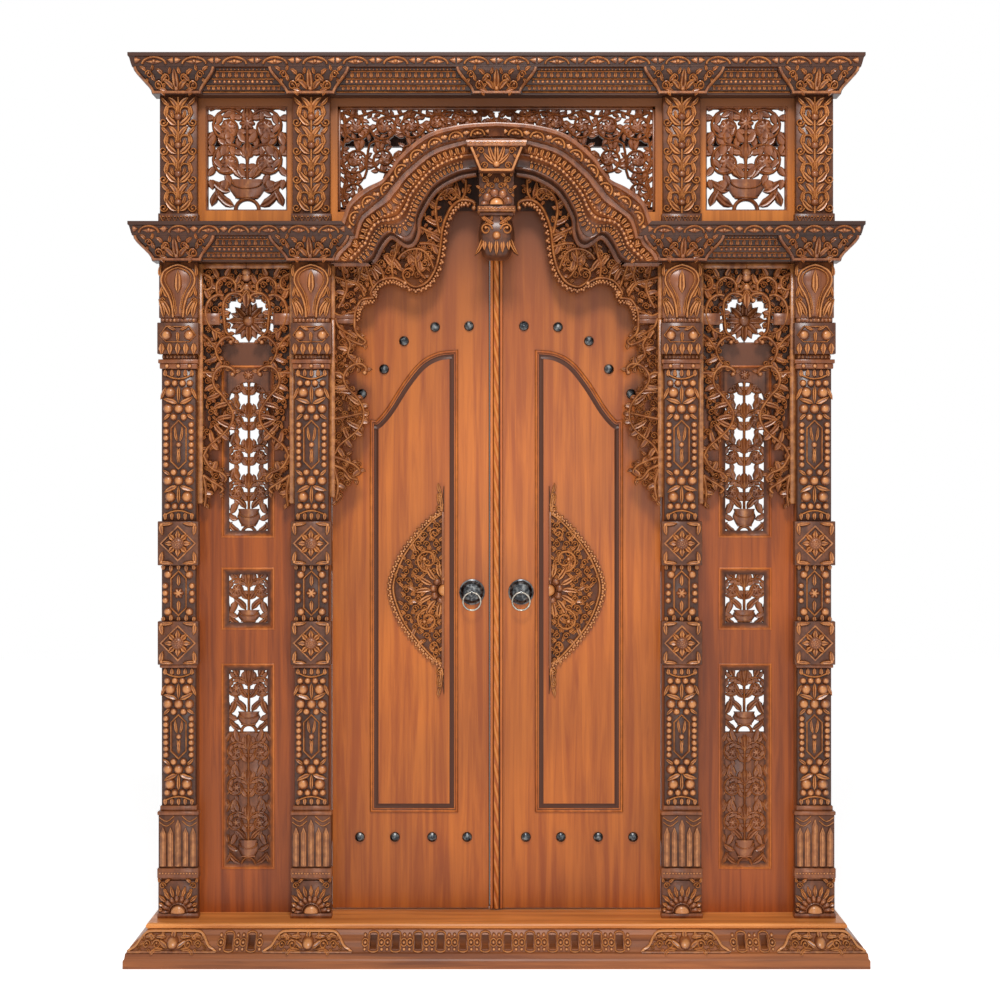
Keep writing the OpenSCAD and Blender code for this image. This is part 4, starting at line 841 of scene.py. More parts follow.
def upper_post_carving():
    """Upper post about x = 0 with true heights."""
    work = Carving()
    block(work, -CORE, CORE, CORE_FRONT, POST_BACK, HEAD, CROWN, 2, 0.6)
    block(work, -58, 58, 2, RELIEF_BACK, HEAD, CORNICE, 1.5, 0.42)
    block(work, -56, 56, 4, RELIEF_BACK, UPPER, CROWN, 1.5, 0.3)
    bulb = smooth([(x, z + HEAD) for x, z in HEAD_STROKE], 4)
    plate(work, np.concatenate([bulb, bulb[-2::-1] * (-1, 1)]), -3, 3, 4, (0.2, 0.62))
    block(work, -60, 60, -2, RELIEF_BACK, UPPER, UPPER + 34, 1.5, 0.3)
    half = Carving()
    post_head(half)
    tier = (CROWN - UPPER - 44) / TIERS
    for i in range(TIERS):
        z = UPPER + TIER_FOOT + i * tier
        strip(half, scroll(21, z + 46, 15, 15, -25, 0.64, 16), 3.6, 4, 10, 5)
        for x, up, angle, length, width, bend in TIER_LEAVES:
            leaf(half, x, z + up, angle, length, width, 4, 8, 5, bend)
        volute(half, 44, z + 14, 13, 180, 1.2, 7, 4, 9, 5, 18)
    work = work.join(half.both_sides())
    strip(work, [(0, UPPER + 34), (0, CROWN - 4)], 4, 4, 7, 5)
    for i in range(TIERS):
        z = UPPER + TIER_FOOT + (i + 0.36) * tier
        revolve(work, 0, z, 4, *dome_profile(13, 14), 16, (0.2, 0.8))
        leaf(work, 0, z + 8, 90, 34, 15, 0, 10, 5, 0)
    x = np.linspace(-54, 54, 13)
    strip(work, np.stack([x, UPPER + 17 + 9 * np.cos(np.pi * np.arange(13))], axis=1), 3, -2, 5, -1)
    beads(work, x[1::2], np.full(6, UPPER + 24), 4, -2, 4)
    leaf(work, 0, HEAD + 74, 90, 70, 28, -3, 7, 0, 0)
    return work


UPPER_POST = upper_post_carving()
for place, x in POSTS:
    carve(place + "_upper_post", UPPER_POST.moved(x=x))

# %% [markdown]
# ## The arch moulding
# The arch is one moulding swept round a many-lobed curve: a smooth lip, a band of eggs, a cove, rows of
# beads and leaves, a ridge and a plain inner band. Lip, egg line and inner line are three curves; the
# surface runs from one to the next with a profile given as shares of the way across.

# %% Swept moulding
ARCH_LIP = [(459, 112), (452, 130), (438, 165), (412, 192), (380, 213), (344, 230), (329, 244), (312, 267),
            (282, 309), (204, 369), (108, 396), (0, 404)]
ARCH_IN = [(366, 15), (349, 49), (328, 77), (311, 82), (290, 67), (268, 55), (250, 64), (238, 95),
           (234, 139), (187, 218), (118, 260), (0, 276)]
MITRE = tuple(np.array(ARCH_LIP[0]) + 0.42 * (np.array(ARCH_IN[0]) - ARCH_LIP[0]))
ARCH_EGG = [MITRE, (413, 102), (402, 128), (378, 150), (352, 172), (327, 195), (314, 213), (297, 232),
            (266, 266), (190, 325), (102, 353), (0, 362)]
LIP_PROFILE = [(0, 84), (0.13, 86), (0.26, 84), (0.3, 76), (0.34, 72), (0.86, 64), (0.9, 68), (1, 62)]
BED_PROFILE = [(0, 52), (0.12, 50), (0.15, 40), (0.25, 34), (0.36, 38), (0.4, 46), (0.435, 50), (0.45, 46),
               (0.47, 50), (0.52, 50), (0.55, 44), (0.6, 30), (0.7, 22), (0.86, 20), (0.88, 26), (0.92, 27),
               (0.96, 24), (1, 12)]
ARCH_BACK = 30.0
ARCH_STEPS = 8


def between(edge_a, edge_b, share):
    """Curve that lies a share of the way from one edge to the other."""
    a, b = smooth(edge_a, ARCH_STEPS), smooth(edge_b, ARCH_STEPS)
    return a + (b - a) * share


def arch_strip(work, edge_a, edge_b, profile, low_tone, steps=ARCH_STEPS):
    """Band between two curves whose front follows the profile (share across, stand-out)."""
    profile = np.asarray(profile, float)
    a, b = smooth(edge_a, steps), smooth(edge_b, steps)
    s = np.concatenate([profile[:, 0], [1, 0]])
    d = np.concatenate([-profile[:, 1], [ARCH_BACK, ARCH_BACK]])
    xz = a[:, None] + (b - a)[:, None] * s[None, :, None]
    ring = np.stack([xz[..., 0], np.broadcast_to(d, xz.shape[:2]), xz[..., 1] + CORNICE], axis=-1)
    lift = (profile[:, 1] - profile[:, 1].min()) / np.ptp(profile[:, 1])
    work.tube(ring, np.concatenate([low_tone + (0.72 - low_tone) * lift, [0, 0]]))


def egg_motif(width, height):
    """Arc with a lens and a round bead in it, and half a lens on each side."""
    work = Carving()
    a = np.linspace(np.pi, 0, 11)
    u = np.linspace(-1, 1, 11)
    arc = np.stack([width * 0.31 * np.cos(a), height * (0.84 * np.sin(a) - 0.44)], axis=1)
    strip(work, arc, 4.2, 0, 9, 2)
    eye_line = np.stack([width * 0.2 * u, 0 * u - height * 0.14], axis=1)
    strip(work, eye_line, height * 0.26 * np.cos(u * 1.5) + 0.5, 0, 5, 2)
    revolve(work, 0, -height * 0.1, -2, *dome_profile(height * 0.27, 9, 3), 12)
    for side in (-1, 1):
        lens = np.stack([side * width * (0.34 + 0.16 * (u + 1) / 2), 0 * u + height * 0.06], axis=1)
        strip(work, lens, height * 0.4 * np.sin(np.pi * (u + 1) / 4) + 0.5, 0, 8, 2)
    return work


def along(work, motif, path, pitch, depth, turn=0.0, inset=0.0):
    """A motif at even steps along a path, turned with it."""
    points, heading = spaced(path, pitch, inset)
    work.scatter(motif, points[:, 0], points[:, 1] + CORNICE, depth, heading + turn)


def bead_motif(r):
    """A bead of the rows, with few faces."""
    work = Carving()
    revolve(work, 0, 0, 0, *dome_profile(r, r * 0.9, 3), 8)
    return work


def leaf_motif(length, width, rise):
    """A petal of the rows, pointing up."""
    work = Carving()
    leaf(work, 0, 0, 90, length, width, 0, rise, 2, 0, 1, 7)
    return work


def cap_out(s):
    """Stand-out of a capital at a share of its height: a smooth step from 22 to 70."""
    return 22 + 48 * s * s * (3 - 2 * s)


def arch_carving():
    """Right half of the arch with its foot beside the capital."""
    work = Carving()
    arch_strip(work, ARCH_LIP, ARCH_EGG, LIP_PROFILE, 0.35)
    arch_strip(work, ARCH_EGG[:-1] + [(66, 358)], ARCH_IN[:-1] + [(58, 272)], BED_PROFILE, 0.12)
    foot_bed = [(DOOR_HALF - cap_out(s) - 0.3, s * MITRE[1]) for s in (0, 0.25, 0.5, 0.75, 1)] + [MITRE]
    foot_in = [(388, 0), (386, 0.5), (382, 2), (378, 4), (372, 8), ARCH_IN[0]]
    arch_strip(work, foot_bed, foot_in, BED_PROFILE, 0.12, 4)
    along(work, egg_motif(66, 25), between(ARCH_LIP, ARCH_EGG, 0.6)[:-2], 66, -68, np.pi, 4)
    for a, b, end in ((ARCH_EGG, ARCH_IN, -7), (foot_bed, foot_in, None)):
        along(work, leaf_motif(22, 19, 9), between(a, b, 0.15)[:end], 19, -38)
        along(work, bead_motif(5), between(a, b, 0.36)[:end], 12, -38)
        along(work, bead_motif(6.5), between(a, b, 0.5)[:end], 15, -48)
        along(work, bead_motif(4.6), between(a, b, 0.64)[:end], 11, -26)
        along(work, leaf_motif(18, 14, 7), between(a, b, 0.68)[:end], 14, -22)
    return work


ARCH = arch_carving()
make_piece("carved_right_arch", ARCH, CARVED_TEAK, instead_of=["right_arch_moulding"])
make_piece("carved_left_arch", ARCH.moved(side=-1), CARVED_TEAK, instead_of=["left_arch_moulding"])

# %% [markdown]
# ## Pierced fretwork
# Hanging curtains of scrolls fill the side bays, the arch and the door jambs. A carver saws the outline
# through the board and then rounds every strand. Each strand is a curve through a few points with a
# half-round section; leaves sprout from it. Points are given as (x, rise above the cornice foot).

# %% Strokes of the fretwork
SIDE_STROKES = [
    [(20, -112), (12, -101), (26, -91), (48, -92), (65, -109), (70, -131), (68, -153), (66, -181), (62, -206),
     (48, -218)],
    [(68, -98), (87, -95), (110, -109), (122, -134), (122, -159), (112, -187), (96, -204), (76, -212)],
    [(47, -238), (38, -230), (51, -222), (68, -226), (85, -243), (92, -262), (87, -282), (73, -304)],
    [(41, -335), (36, -326), (51, -314), (74, -311), (93, -326), (101, -352), (93, -377), (73, -399),
     (50, -431), (40, -454), (44, -482), (65, -511), (96, -537), (117, -557), (128, -580)],
    [(34, -81), (32, -64), (46, -47), (68, -43), (87, -58), (90, -82), (84, -98)],
    [(130, -578), (116, -606), (100, -622), (76, -632), (60, -648), (66, -660)],
    [(130, -640), (108, -656), (88, -668), (70, -682), (80, -694)],
    [(130, -640), (122, -690), (126, -734)],
    [(132, -30), (108, -44), (104, -68), (118, -80), (132, -76)],
    [(34, -84), (16, -84), (0, -62)],
    [(132, -216), (112, -232), (92, -262)],
    [(132, -330), (116, -330), (96, -330)]]
SIDE_LEAVES = [
    (88, -40, 70, 32), (60, -36, 110, 26), (30, -60, 120, 34), (112, -104, 60, 34), (70, -150, 180, 22),
    (100, -200, 250, 36), (92, -250, 20, 34), (88, -284, -30, 40), (76, -300, -50, 34), (102, -340, 30, 30),
    (98, -370, -20, 34), (80, -392, -30, 46), (56, -424, -10, 50), (44, -450, 170, 16), (44, -462, -5, 54),
    (48, -492, 20, 50), (48, -492, 200, 20), (70, -514, 40, 44), (70, -518, 230, 24), (100, -540, 70, 40),
    (100, -544, 240, 26), (96, -622, 100, 28), (76, -632, 250, 24), (100, -660, 250, 30),
    (122, -690, 200, 24), (104, -70, 190, 24)]
RIB = [(68, 167), (66, 181), (80, 190), (106, 191), (130, 176), (147, 151), (163, 106), (169, 58), (175, 17),
       (187, -22), (205, -51), (226, -66), (250, -70), (272, -56), (283, -36), (277, -20), (261, -16),
       (250, -26), (256, -38)]
RIB_TWO = [(276, -60), (290, -51), (310, -44), (335, -46), (357, -56), (373, -75), (380, -92), (372, -106)]
RIB_THREE = [(372, -104), (392, -106), (408, -111), (420, -129), (427, -148), (429, -170)]
ARCH_STROKES = [
    [(296, 12), (286, 28), (262, 42), (233, 43), (211, 30), (198, 8), (190, -16)],
    [(171, 90), (181, 132), (184, 170), (176, 199), (154, 222), (134, 226), (122, 214), (124, 198),
     (136, 190)],
    [(106, 190), (94, 214), (92, 252)], [(240, 44), (244, 0), (230, -30), (214, -46)],
    [(300, 64), (306, 26), (316, -4), (312, -44)], [(372, 6), (350, -14), (340, -46)],
    [(396, -6), (384, -40), (372, -74)], [(490, -40), (458, -50), (420, -64), (398, -100)],
    [(478, -135), (462, -105), (452, -70), (462, -34), (466, -8)], [(420, -8), (414, -36), (424, -66)],
    [(490, -150), (470, -158), (446, -150), (428, -146)], [(232, 110), (204, 96), (172, 84)],
    [(232, 60), (206, 60), (172, 50)]]
ARCH_LEAVES = [
    (150, 212, 120, 34), (112, 204, 70, 44), (182, 168, 45, 40), (178, 120, 20, 46), (172, 66, 40, 46),
    (178, 30, 60, 40), (262, 0, 90, 34), (244, 6, 40, 36), (244, 6, 130, 36), (226, -20, 70, 34),
    (290, -20, 60, 50), (306, 30, 110, 40), (318, -6, 60, 44), (340, -30, 30, 44), (360, -50, 70, 44),
    (384, -44, 20, 40), (398, -90, 60, 46), (420, -60, 10, 44), (416, -30, 120, 30), (452, -70, 150, 40),
    (456, -92, 20, 34), (430, -140, 160, 30), (452, -30, 60, 30), (470, -60, 200, 30), (150, 226, 60, 30)]
JAMB_STROKES = [
    [(429, -166), (428, -196), (420, -214), (406, -226), (396, -236), (404, -246)],
    [(486, -166), (478, -190), (458, -206), (432, -220)],
    [(404, -246), (424, -240), (440, -232), (458, -222)],
    [(452, -226), (442, -246), (448, -276), (430, -298), (410, -316)],
    [(398, -330), (394, -316), (408, -304), (432, -306), (454, -324), (462, -350), (448, -378), (424, -402),
     (404, -434), (402, -470), (418, -502), (448, -528), (474, -550), (488, -576)],
    [(490, -585), (470, -590), (446, -600), (424, -612), (412, -630), (424, -640)],
    [(490, -610), (462, -622), (440, -648), (420, -652)],
    [(490, -620), (478, -670), (484, -716), (470, -700)],
    [(490, -330), (474, -330), (460, -340)], [(490, -470), (450, -462), (404, -452)]]
JAMB_LEAVES = [
    (470, -200, 250, 34), (440, -214, 200, 24), (448, -262, 20, 36), (446, -280, 200, 28),
    (462, -344, 30, 30), (454, -372, -10, 40), (436, -390, 10, 54), (412, -424, 30, 54),
    (402, -452, 200, 18), (404, -430, 170, 18), (404, -476, 200, 20), (412, -496, 20, 50),
    (424, -508, 220, 24), (446, -528, 60, 44), (452, -534, 240, 30), (478, -560, 230, 36),
    (446, -604, 80, 24), (430, -640, 130, 30), (456, -632, 240, 32), (478, -668, 200, 26),
    (420, -302, 110, 22)]
SIDE_SPRIGS = [
    (114, -30), (52, -66), (20, -44), (94, -70), (94, -140), (98, -176), (112, -262), (114, -300),
    (116, -356), (100, -396), (112, -420), (84, -430), (106, -450), (76, -470), (100, -486), (118, -510),
    (112, -620), (92, -644), (114, -676)]
ARCH_SPRIGS = [
    (150, 200), (204, 132), (200, 78), (206, 26), (216, 0), (262, 12), (238, -36), (270, -36), (326, -24),
    (348, 0), (330, 20), (382, -10), (402, -44), (438, -20), (440, -96), (470, -110), (452, -130), (402, -84)]
JAMB_SPRIGS = [
    (466, -240), (440, -262), (474, -286), (470, -310), (480, -360), (470, -392), (446, -412), (474, -424),
    (430, -440), (456, -456), (476, -480), (434, -478), (452, -504), (476, -520), (460, -590), (470, -640),
    (440, -626), (450, -664)]
print("strokes:", len(SIDE_STROKES) + len(ARCH_STROKES) + len(JAMB_STROKES))


# %% Carving the fretwork
FRET_FACE, FRET_RISE, FRET_BACK = 39.0, 9.0, 55.0
FRET_TONE = 0.88


def raised(points):
    """Points with their rise above the cornice foot turned into true heights."""
    return [(x, v + CORNICE) for x, v in points]


def stem(work, points, w0, w1):
    """Bare stem that narrows from w0 to w1."""
    tendril(work, raised(points), w0, w1, FRET_FACE, FRET_BACK, rise=FRET_RISE)


def strands(work, strokes, w0, w1):
    """Main stems with small leaves and curls along them."""
    for points in strokes:
        stem(work, points, w0, w1)
        path = smooth(raised(points), 4)
        garnish(work, path, 16, 20, 15, FRET_FACE + 3, 6, FRET_BACK - 3)
        curls(work, path, 42, 9, FRET_FACE + 1, 7, FRET_BACK - 2)


def sprouts(work, leaves, width):
    """Leaves given as x, rise, angle and length, bending to the left and the right in turn."""
    for i, (x, v, angle, length) in enumerate(leaves):
        a = math.radians(angle)
        leaf(work, x - 5 * math.cos(a), v + CORNICE - 5 * math.sin(a), angle, length + 5, width, FRET_FACE,
             FRET_RISE * 0.8, FRET_BACK, bend=0.5 if i % 2 else -0.5)


def sprigs(work, points, r):
    """Small spirals with leaves that fill the ground between the stems."""
    for i, (x, v) in enumerate(points):
        sprig(work, x, v + CORNICE, r, 1 if i % 2 else -1, FRET_FACE + 1, FRET_RISE * 0.8, FRET_BACK - 1)


def eyes(work, points):
    """Round knobs at the ends of stems."""
    for x, v in points:
        revolve(work, x, v + CORNICE, FRET_FACE, [7, 7, 5.6, 2.8], [FRET_FACE - FRET_BACK, 5, 9, 11], 14)


def fringe(work, path, off, r):
    """Row of three-lobed tufts on the side of a rib that faces the doorway."""
    q = smooth(raised(path), 4)
    at = (q + path_normal(q) * off)[1:-1:2]
    heading = np.arctan2(*np.gradient(q, axis=0)[1:-1:2].T[::-1]) + np.pi
    motif = Carving()
    for dx, dz, size in ((-5, 1, 0.62), (5, 1, 0.62), (0, 6, 0.7)):
        k = r * size
        revolve(motif, dx, dz, 0, [k, k, k * 0.86, k * 0.5, 1], [FRET_FACE - FRET_BACK, 1, 5, 7.5, 8], 10)
    work.scatter(motif, at[:, 0], at[:, 1], FRET_FACE, heading)


def edge_strip(work, x0, x1, z0, z1):
    """Smooth upright strip beside a post with rounded edges."""
    block(work, x0, x1, 30, FRET_BACK, z0, z1, 3, 0.95)


def side_fretwork():
    """Curtain of a side bay about x = 0, drawn as a half and mirrored."""
    half = Carving()
    edge_strip(half, BAY_HALF - 17, BAY_HALF - 0.1, CORNICE - 726, CORNICE - 0.1)
    block(half, 0, BAY_HALF - 1, 32, FRET_BACK, CORNICE - 16, CORNICE - 0.1, 2, 0.9)
    block(half, 80, BAY_HALF - 8, 32, FRET_BACK, HEAD - 18, HEAD + 18, 2, 0.8)
    strands(half, SIDE_STROKES, 12.5, 10)
    sprouts(half, SIDE_LEAVES, 23)
    sprigs(half, SIDE_SPRIGS, 11)
    eyes(half, [SIDE_STROKES[i][0] for i in (0, 2, 3)])
    stem(half, [(14, -104), (8, -92), (0, -80)], 8, 8)
    work = half.both_sides()
    leaf(work, 0, CORNICE - 88, -90, 48, 34, FRET_FACE, 9, FRET_BACK, 0)
    oval = Carving()
    revolve(oval, 0, 0, 0, [15, 15, 13, 8, 1], [-16, 0, 6, 9, 10], 20)
    work.scatter(oval, [0, 0], [CORNICE - 27, CORNICE - 42], FRET_FACE)
    revolve(work, 0, CORNICE - 72, FRET_FACE, [13, 13, 11, 6, 1], [-16, 0, 6, 9, 10], 18)
    return work


def arch_fretwork():
    """Right half of the curtain under the arch, down to the head of the posts."""
    work = Carving()
    edge = smooth([(500, 0), (388, 0), (378, 4)] + ARCH_IN[:-1] + [(62, 273)], 4)
    edge = edge - path_normal(edge) * 4
    strip(work, raised(edge), 15, 38, 8, FRET_BACK, FILLET, (0.4, 0.8))
    edge_strip(work, DOOR_HALF - 17, DOOR_HALF - 0.1, HEAD, CORNICE - 0.1)
    block(work, 425, DOOR_HALF - 4, 32, FRET_BACK, HEAD, HEAD + 14, 2, 0.5)
    strands(work, ARCH_STROKES, 11, 9)
    stem(work, RIB, 12, 8)
    stem(work, RIB_TWO, 11, 9)
    stem(work, RIB_THREE, 11, 10)
    sprouts(work, ARCH_LEAVES, 23)
    sprigs(work, ARCH_SPRIGS, 12)
    eyes(work, [RIB[0], RIB_TWO[0]])
    fringe(work, RIB[2:14], -9, 8)
    fringe(work, RIB_TWO, -8, 7)
    fringe(work, RIB_THREE, -8, 7)
    return work


def jamb_fretwork():
    """Right curtain beside the doorway, below the head of the posts."""
    work = Carving()
    edge_strip(work, DOOR_HALF - 17, DOOR_HALF - 0.1, CORNICE - 706, HEAD)
    block(work, 425, DOOR_HALF - 4, 32, FRET_BACK, HEAD - 14, HEAD, 2, 0.5)
    strands(work, JAMB_STROKES, 12, 9)
    sprouts(work, JAMB_LEAVES, 23)
    sprigs(work, JAMB_SPRIGS, 11)
    eyes(work, [JAMB_STROKES[4][0]])
    return work


SIDE, CURTAIN, JAMB = side_fretwork(), arch_fretwork(), jamb_fretwork()
for word, side in SIDES:
    carve(word + "_side_fretwork", SIDE.moved(x=side * BAY_X), tone=FRET_TONE)
    carve(word + "_arch_fretwork", CURTAIN.moved(side=side), tone=FRET_TONE)
    carve(word + "_jamb_fretwork", JAMB.moved(side=side), tone=FRET_TONE)

# %% [markdown]
# ## Pierced panels
# The wings and the upper storey hold thin boards sawn into a vase with a tree of coils. The same drawing
# serves every size: width, height and the number of coil rows change.


# %% A vase with coils
COIL_LEAVES = [(-0.2, 0.9, 65, 0.4, 0.17), (0.1, -0.9, -75, 0.36, 0.17), (-1, 0.2, 75, 0.44, 0.15),
               (0.9, 0.8, 110, 0.36, 0.13), (-0.9, -0.8, 50, 0.4, 0.14), (0.9, -0.9, -110, 0.3, 0.12)]
VASE_LEAVES = [(0.06, 1.0, 55, 0.36, 0.15, -0.7), (0.16, 0.1, 30, 0.36, 0.14, 0.9),
               (0.22, 0.6, 20, 0.28, 0.14, 0.9), (0.46, 0.1, 110, 0.26, 0.12, 0.5)]


def vase_tree(w, h, rows, sw, face, back, z=0.0, rise=6.0, border=True):
    """Half drawing mirrored: vase at the foot, stem, and per row a coil with leaves."""
    half = Carving()
    r, vase = w / 4 + 1, min(h * 0.3, w * 0.55)
    pitch = (h - vase) / rows
    for i in range(rows):
        cx, cz = w / 4, vase + pitch * (i + 0.5)
        path = scroll(cx, cz, r, r * 0.3, 180, -1.35)
        strip(half, path, np.linspace(sw, sw * 0.75, len(path)) / 2, face, rise, back)
        garnish(half, path, 0.09 * w, 0.17 * w, 0.11 * w, face + 1, rise * 0.7, back - 1)
        rosette(half, cx, cz, r * 0.4, 6, face, rise, back)
        for dx, dz, angle, length, width in COIL_LEAVES:
            leaf(half, cx + dx * r, cz + dz * r, angle, length * pitch, width * w, face, rise, back)
    for x0, share, angle, length, width, bend in VASE_LEAVES:
        leaf(half, w * x0, vase * share, angle, w * length, w * width, face, rise, back, bend)
    work = half.both_sides()
    if border:
        loop_moulding(work, rectangle(-w / 2 - 6, w / 2 + 6, -6, h + 6),
                      [(0, back), (0, face - rise), (3, face - rise), (6, face), (6, back)])
    strip(work, [(0, vase * 0.9), (0, h + 1)], sw / 2, face, rise, back)
    u = np.linspace(0, 1, 15)
    belly = np.interp(u, [0, 0.15, 0.55, 0.85, 1], [0.13, 0.17, 0.24, 0.2, 0.22]) * w
    strip(work, np.stack([0 * u, (0.34 + 0.66 * u) * vase], axis=1), belly, face, rise + 3, back)
    a = np.linspace(np.pi, 0, 15)
    stand = np.stack([w * 0.15 * np.cos(a), vase * (0.36 * np.sin(a) - 0.02)], axis=1)
    strip(work, stand, sw * 0.6, face, rise, back)
    band_line = np.stack([w * 0.19 * np.cos(a), vase * (0.9 - 0.22 * np.sin(a))], axis=1)
    strip(work, band_line, 2.6, face - rise, 5, face)
    strip(work, [(-w * 0.15, vase * 0.38), (w * 0.15, vase * 0.38)], 3, face - rise, 4, face)
    return work.moved(z=z)


UP_FACE, UP_BACK, MEMBER, FOOT = 57.0, 66.0, 24.0, 48.0
WING_FACE, WING_BACK = 92.0, 101.0
STILE = 67.0
WING_HALF = BAY_HALF - STILE
OPENINGS = {"low_panel": (131, 756), "small_panel": (858, 1048), "tall_panel": (1138, 1662),
            "crest": (1728, 1870)}
CLOSED_SHARE = 0.66
RIM = 6.0


def upper_side_panel():
    """Vase with two rows of coils and a flower at the top, about x = 0."""
    w, h = (BAY_HALF - MEMBER - 6) * 2, CROWN - UPPER - FOOT - MEMBER - 12
    work = vase_tree(w, h, 2, 10, UP_FACE, UP_BACK, rise=7)
    rosette(work, 0, h * 0.86, 24, 8, UP_FACE - 2, 9, UP_BACK)
    return work.moved(z=UPPER + FOOT + 6)


def small_panel(w, z, h):
    """Vase with one row of coils."""
    return vase_tree(w, h, 1, 8, WING_FACE, WING_BACK, z=z)


def tall_panel(w, z, h):
    """Vase with four rows of coils under a hood with a round arch."""
    work = vase_tree(w, h, 4, 8, WING_FACE, WING_BACK, z=z)
    a = np.radians(np.linspace(0, 180, 25))
    top = z + h - w * 0.7
    arc = np.stack([w * 0.4 * np.cos(a), top + w * 0.4 * np.sin(a)], axis=1)
    sides = [(-w / 2 - 2, top - 6), (-w / 2 - 2, z + h + 2), (w / 2 + 2, z + h + 2)]
    hood = np.concatenate([[(w / 2 + 2, top - 6)], arc, sides])
    plate(work, hood, WING_FACE - 8, WING_BACK, 3, (0.4, 0.6))
    rosette(work, 0, top + w * 0.55, 16, 8, WING_FACE - 8, 6, WING_FACE)
    return work


def low_panel(w, z, h):
    """Closed board with a vase in relief, and a small pierced vase above it."""
    work = Carving()
    closed = h * CLOSED_SHARE
    block(work, -w / 2 - RIM, w / 2 + RIM, WING_FACE - 7, WING_BACK, z - RIM, z + closed, 1, 0.5)
    relief = vase_tree(w - 6, closed - 6, 3, 8, WING_FACE - 7, WING_FACE, z=z + 2, border=False)
    top = vase_tree(w, h - closed - 5, 1, 8, WING_FACE, WING_BACK, z=z + closed + 5)
    return work.join(relief, top)


def crest_panel(w, z, h):
    """Stepped cross cut through a board, with a flower of eight leaves."""
    u = min(w, h * 1.14)
    work = Carving()
    mid = z + h / 2
    for sx in (-1, 1):
        for sz in (-1, 1):
            corner = [(w / 2 + 6, h / 2 + 6), (0.26 * w, h / 2 + 6), (0.26 * w, 0.4 * u), (0.4 * w, 0.4 * u),
                      (0.4 * w, 0.26 * u), (w / 2 + 6, 0.26 * u)]
            plate(work, [(sx * a, mid + sz * b) for a, b in corner], WING_FACE - 7, WING_BACK, 2, (0.4, 0.7))
    loop_moulding(work, rectangle(-w / 2 - 6, w / 2 + 6, z - 6, z + h + 6),
                  [(0, WING_BACK), (0, WING_FACE - 7), (4, WING_FACE - 6), (6, WING_FACE), (6, WING_BACK)])
    strip(work, [(-w / 2, mid), (w / 2, mid)], 4, WING_FACE, 5, WING_BACK)
    for a in range(0, 360, 45):
        t = math.radians(a)
        length = u * (0.38 if a % 90 == 0 else 0.34)
        leaf(work, 0.06 * u * math.cos(t), mid + 0.06 * u * math.sin(t), a, length, u * 0.2,
             WING_FACE, 7, WING_BACK, 0)
        x, z = 0.1 * u * math.cos(t + 0.39), mid + 0.1 * u * math.sin(t + 0.39)
        leaf(work, x, z, a + 22.5, u * 0.3, u * 0.17, WING_FACE + 2, 6, WING_BACK, 0)
    revolve(work, 0, mid, WING_FACE, [u * 0.12, u * 0.12, u * 0.09, u * 0.03],
            [WING_FACE - WING_BACK, 7, 11, 13], 16)
    return work


PANELS = {"low_panel": low_panel, "small_panel": small_panel, "tall_panel": tall_panel, "crest": crest_panel}


def wing_panels():
    """Pierced boards of a wing about x = 0, by the name of their opening, each inside its rim."""
    w = 2 * (WING_HALF - RIM)
    return {word: PANELS[word](w, SILL + z0 + RIM, z1 - z0 - 2 * RIM) for word, (z0, z1) in OPENINGS.items()}


VINE = [(428, 52, 44, 1), (428, 138, 45, -1), (428, 226, 46, 1), (340, 226, 45, -1), (340, 140, 44, 1),
        (258, 228, 42, 1), (268, 158, 32, -1), (180, 236, 40, -1), (108, 247, 34, 1), (36, 248, 39, -1)]
# The coils are drawn for a panel of this height, and k scales their heights to the real one.
VINE_DRAWN = 276.0
COIL_TURNS = 1.4


def upper_centre_panel():
    """Coils over the arch with a band that follows its lip."""
    w, z0, z1 = DOOR_HALF - MEMBER, UPPER + 44, CROWN - MEMBER
    half = Carving()
    lip = smooth(ARCH_LIP[3:], 4) - (0, 12)
    strip(half, raised(lip), 11, UP_FACE, 7, UP_BACK, FILLET, (0.3, 0.7))
    k = (z1 - z0) / VINE_DRAWN
    for x, z, r, turn in VINE:
        z = z * k
        start = 90 + 90 * turn
        path = scroll(x, z0 + z, r, r * 0.3, start, turn * COIL_TURNS)
        strip(half, path, np.linspace(9, 7, len(path)) / 2, UP_FACE, 7, UP_BACK)
        garnish(half, path, 15, 26, 16, UP_FACE + 1, 5, UP_BACK - 1)
        revolve(half, path[-1, 0], path[-1, 1], UP_FACE, [7, 7, 3], [UP_FACE - UP_BACK, 6, 9], 12)
        for t in (0.12, 0.3, 0.5, 0.7):
            a = math.radians(start + turn * 360 * COIL_TURNS * t)
            q = r * (1 - 0.7 * t)
            leaf(half, x + q * math.cos(a), max(z0 + z + q * math.sin(a), z0 + 26),
                 math.degrees(a) + 30 * turn, 36, 20, UP_FACE, 6, UP_BACK, 0.6 * turn)
    tendril(half, [(462, z0 + 96 * k), (400, z0 + 92 * k), (384, z0 + 180 * k), (330, z0 + 180 * k)], 9, 7,
            UP_FACE, UP_BACK, rise=7)
    for x, z, r, turn in VINE[1:9]:
        rosette(half, x, z0 + z * k, r * 0.42, 6, UP_FACE + 2, 6, UP_BACK)
    u = np.linspace(0, 1, 60)
    for vine in (np.stack([6 + (w - 20) * u, z1 - 20 + 7 * np.sin(26 * u)], axis=1),
                 np.stack([w - 18 + 6 * np.sin(14 * u), z0 + 14 + (z1 - z0 - 28) * u], axis=1)):
        strip(half, vine, 4, UP_FACE, 7, UP_BACK)
        garnish(half, vine, 14, 24, 15, UP_FACE + 1, 5, UP_BACK - 1)
    block(half, 0, 30, UP_FACE - 5, UP_BACK, z1 - 12, z1 - 2, 1, 0.5)
    for x0, x1, a, b in ((w - 8, w, z0, z1), (0, w, z1 - 8, z1), (400, w, z0, z0 + 8)):
        block(half, x0, x1, UP_FACE - 7, UP_BACK, a, b, 1, 0.6)
    return half.both_sides()


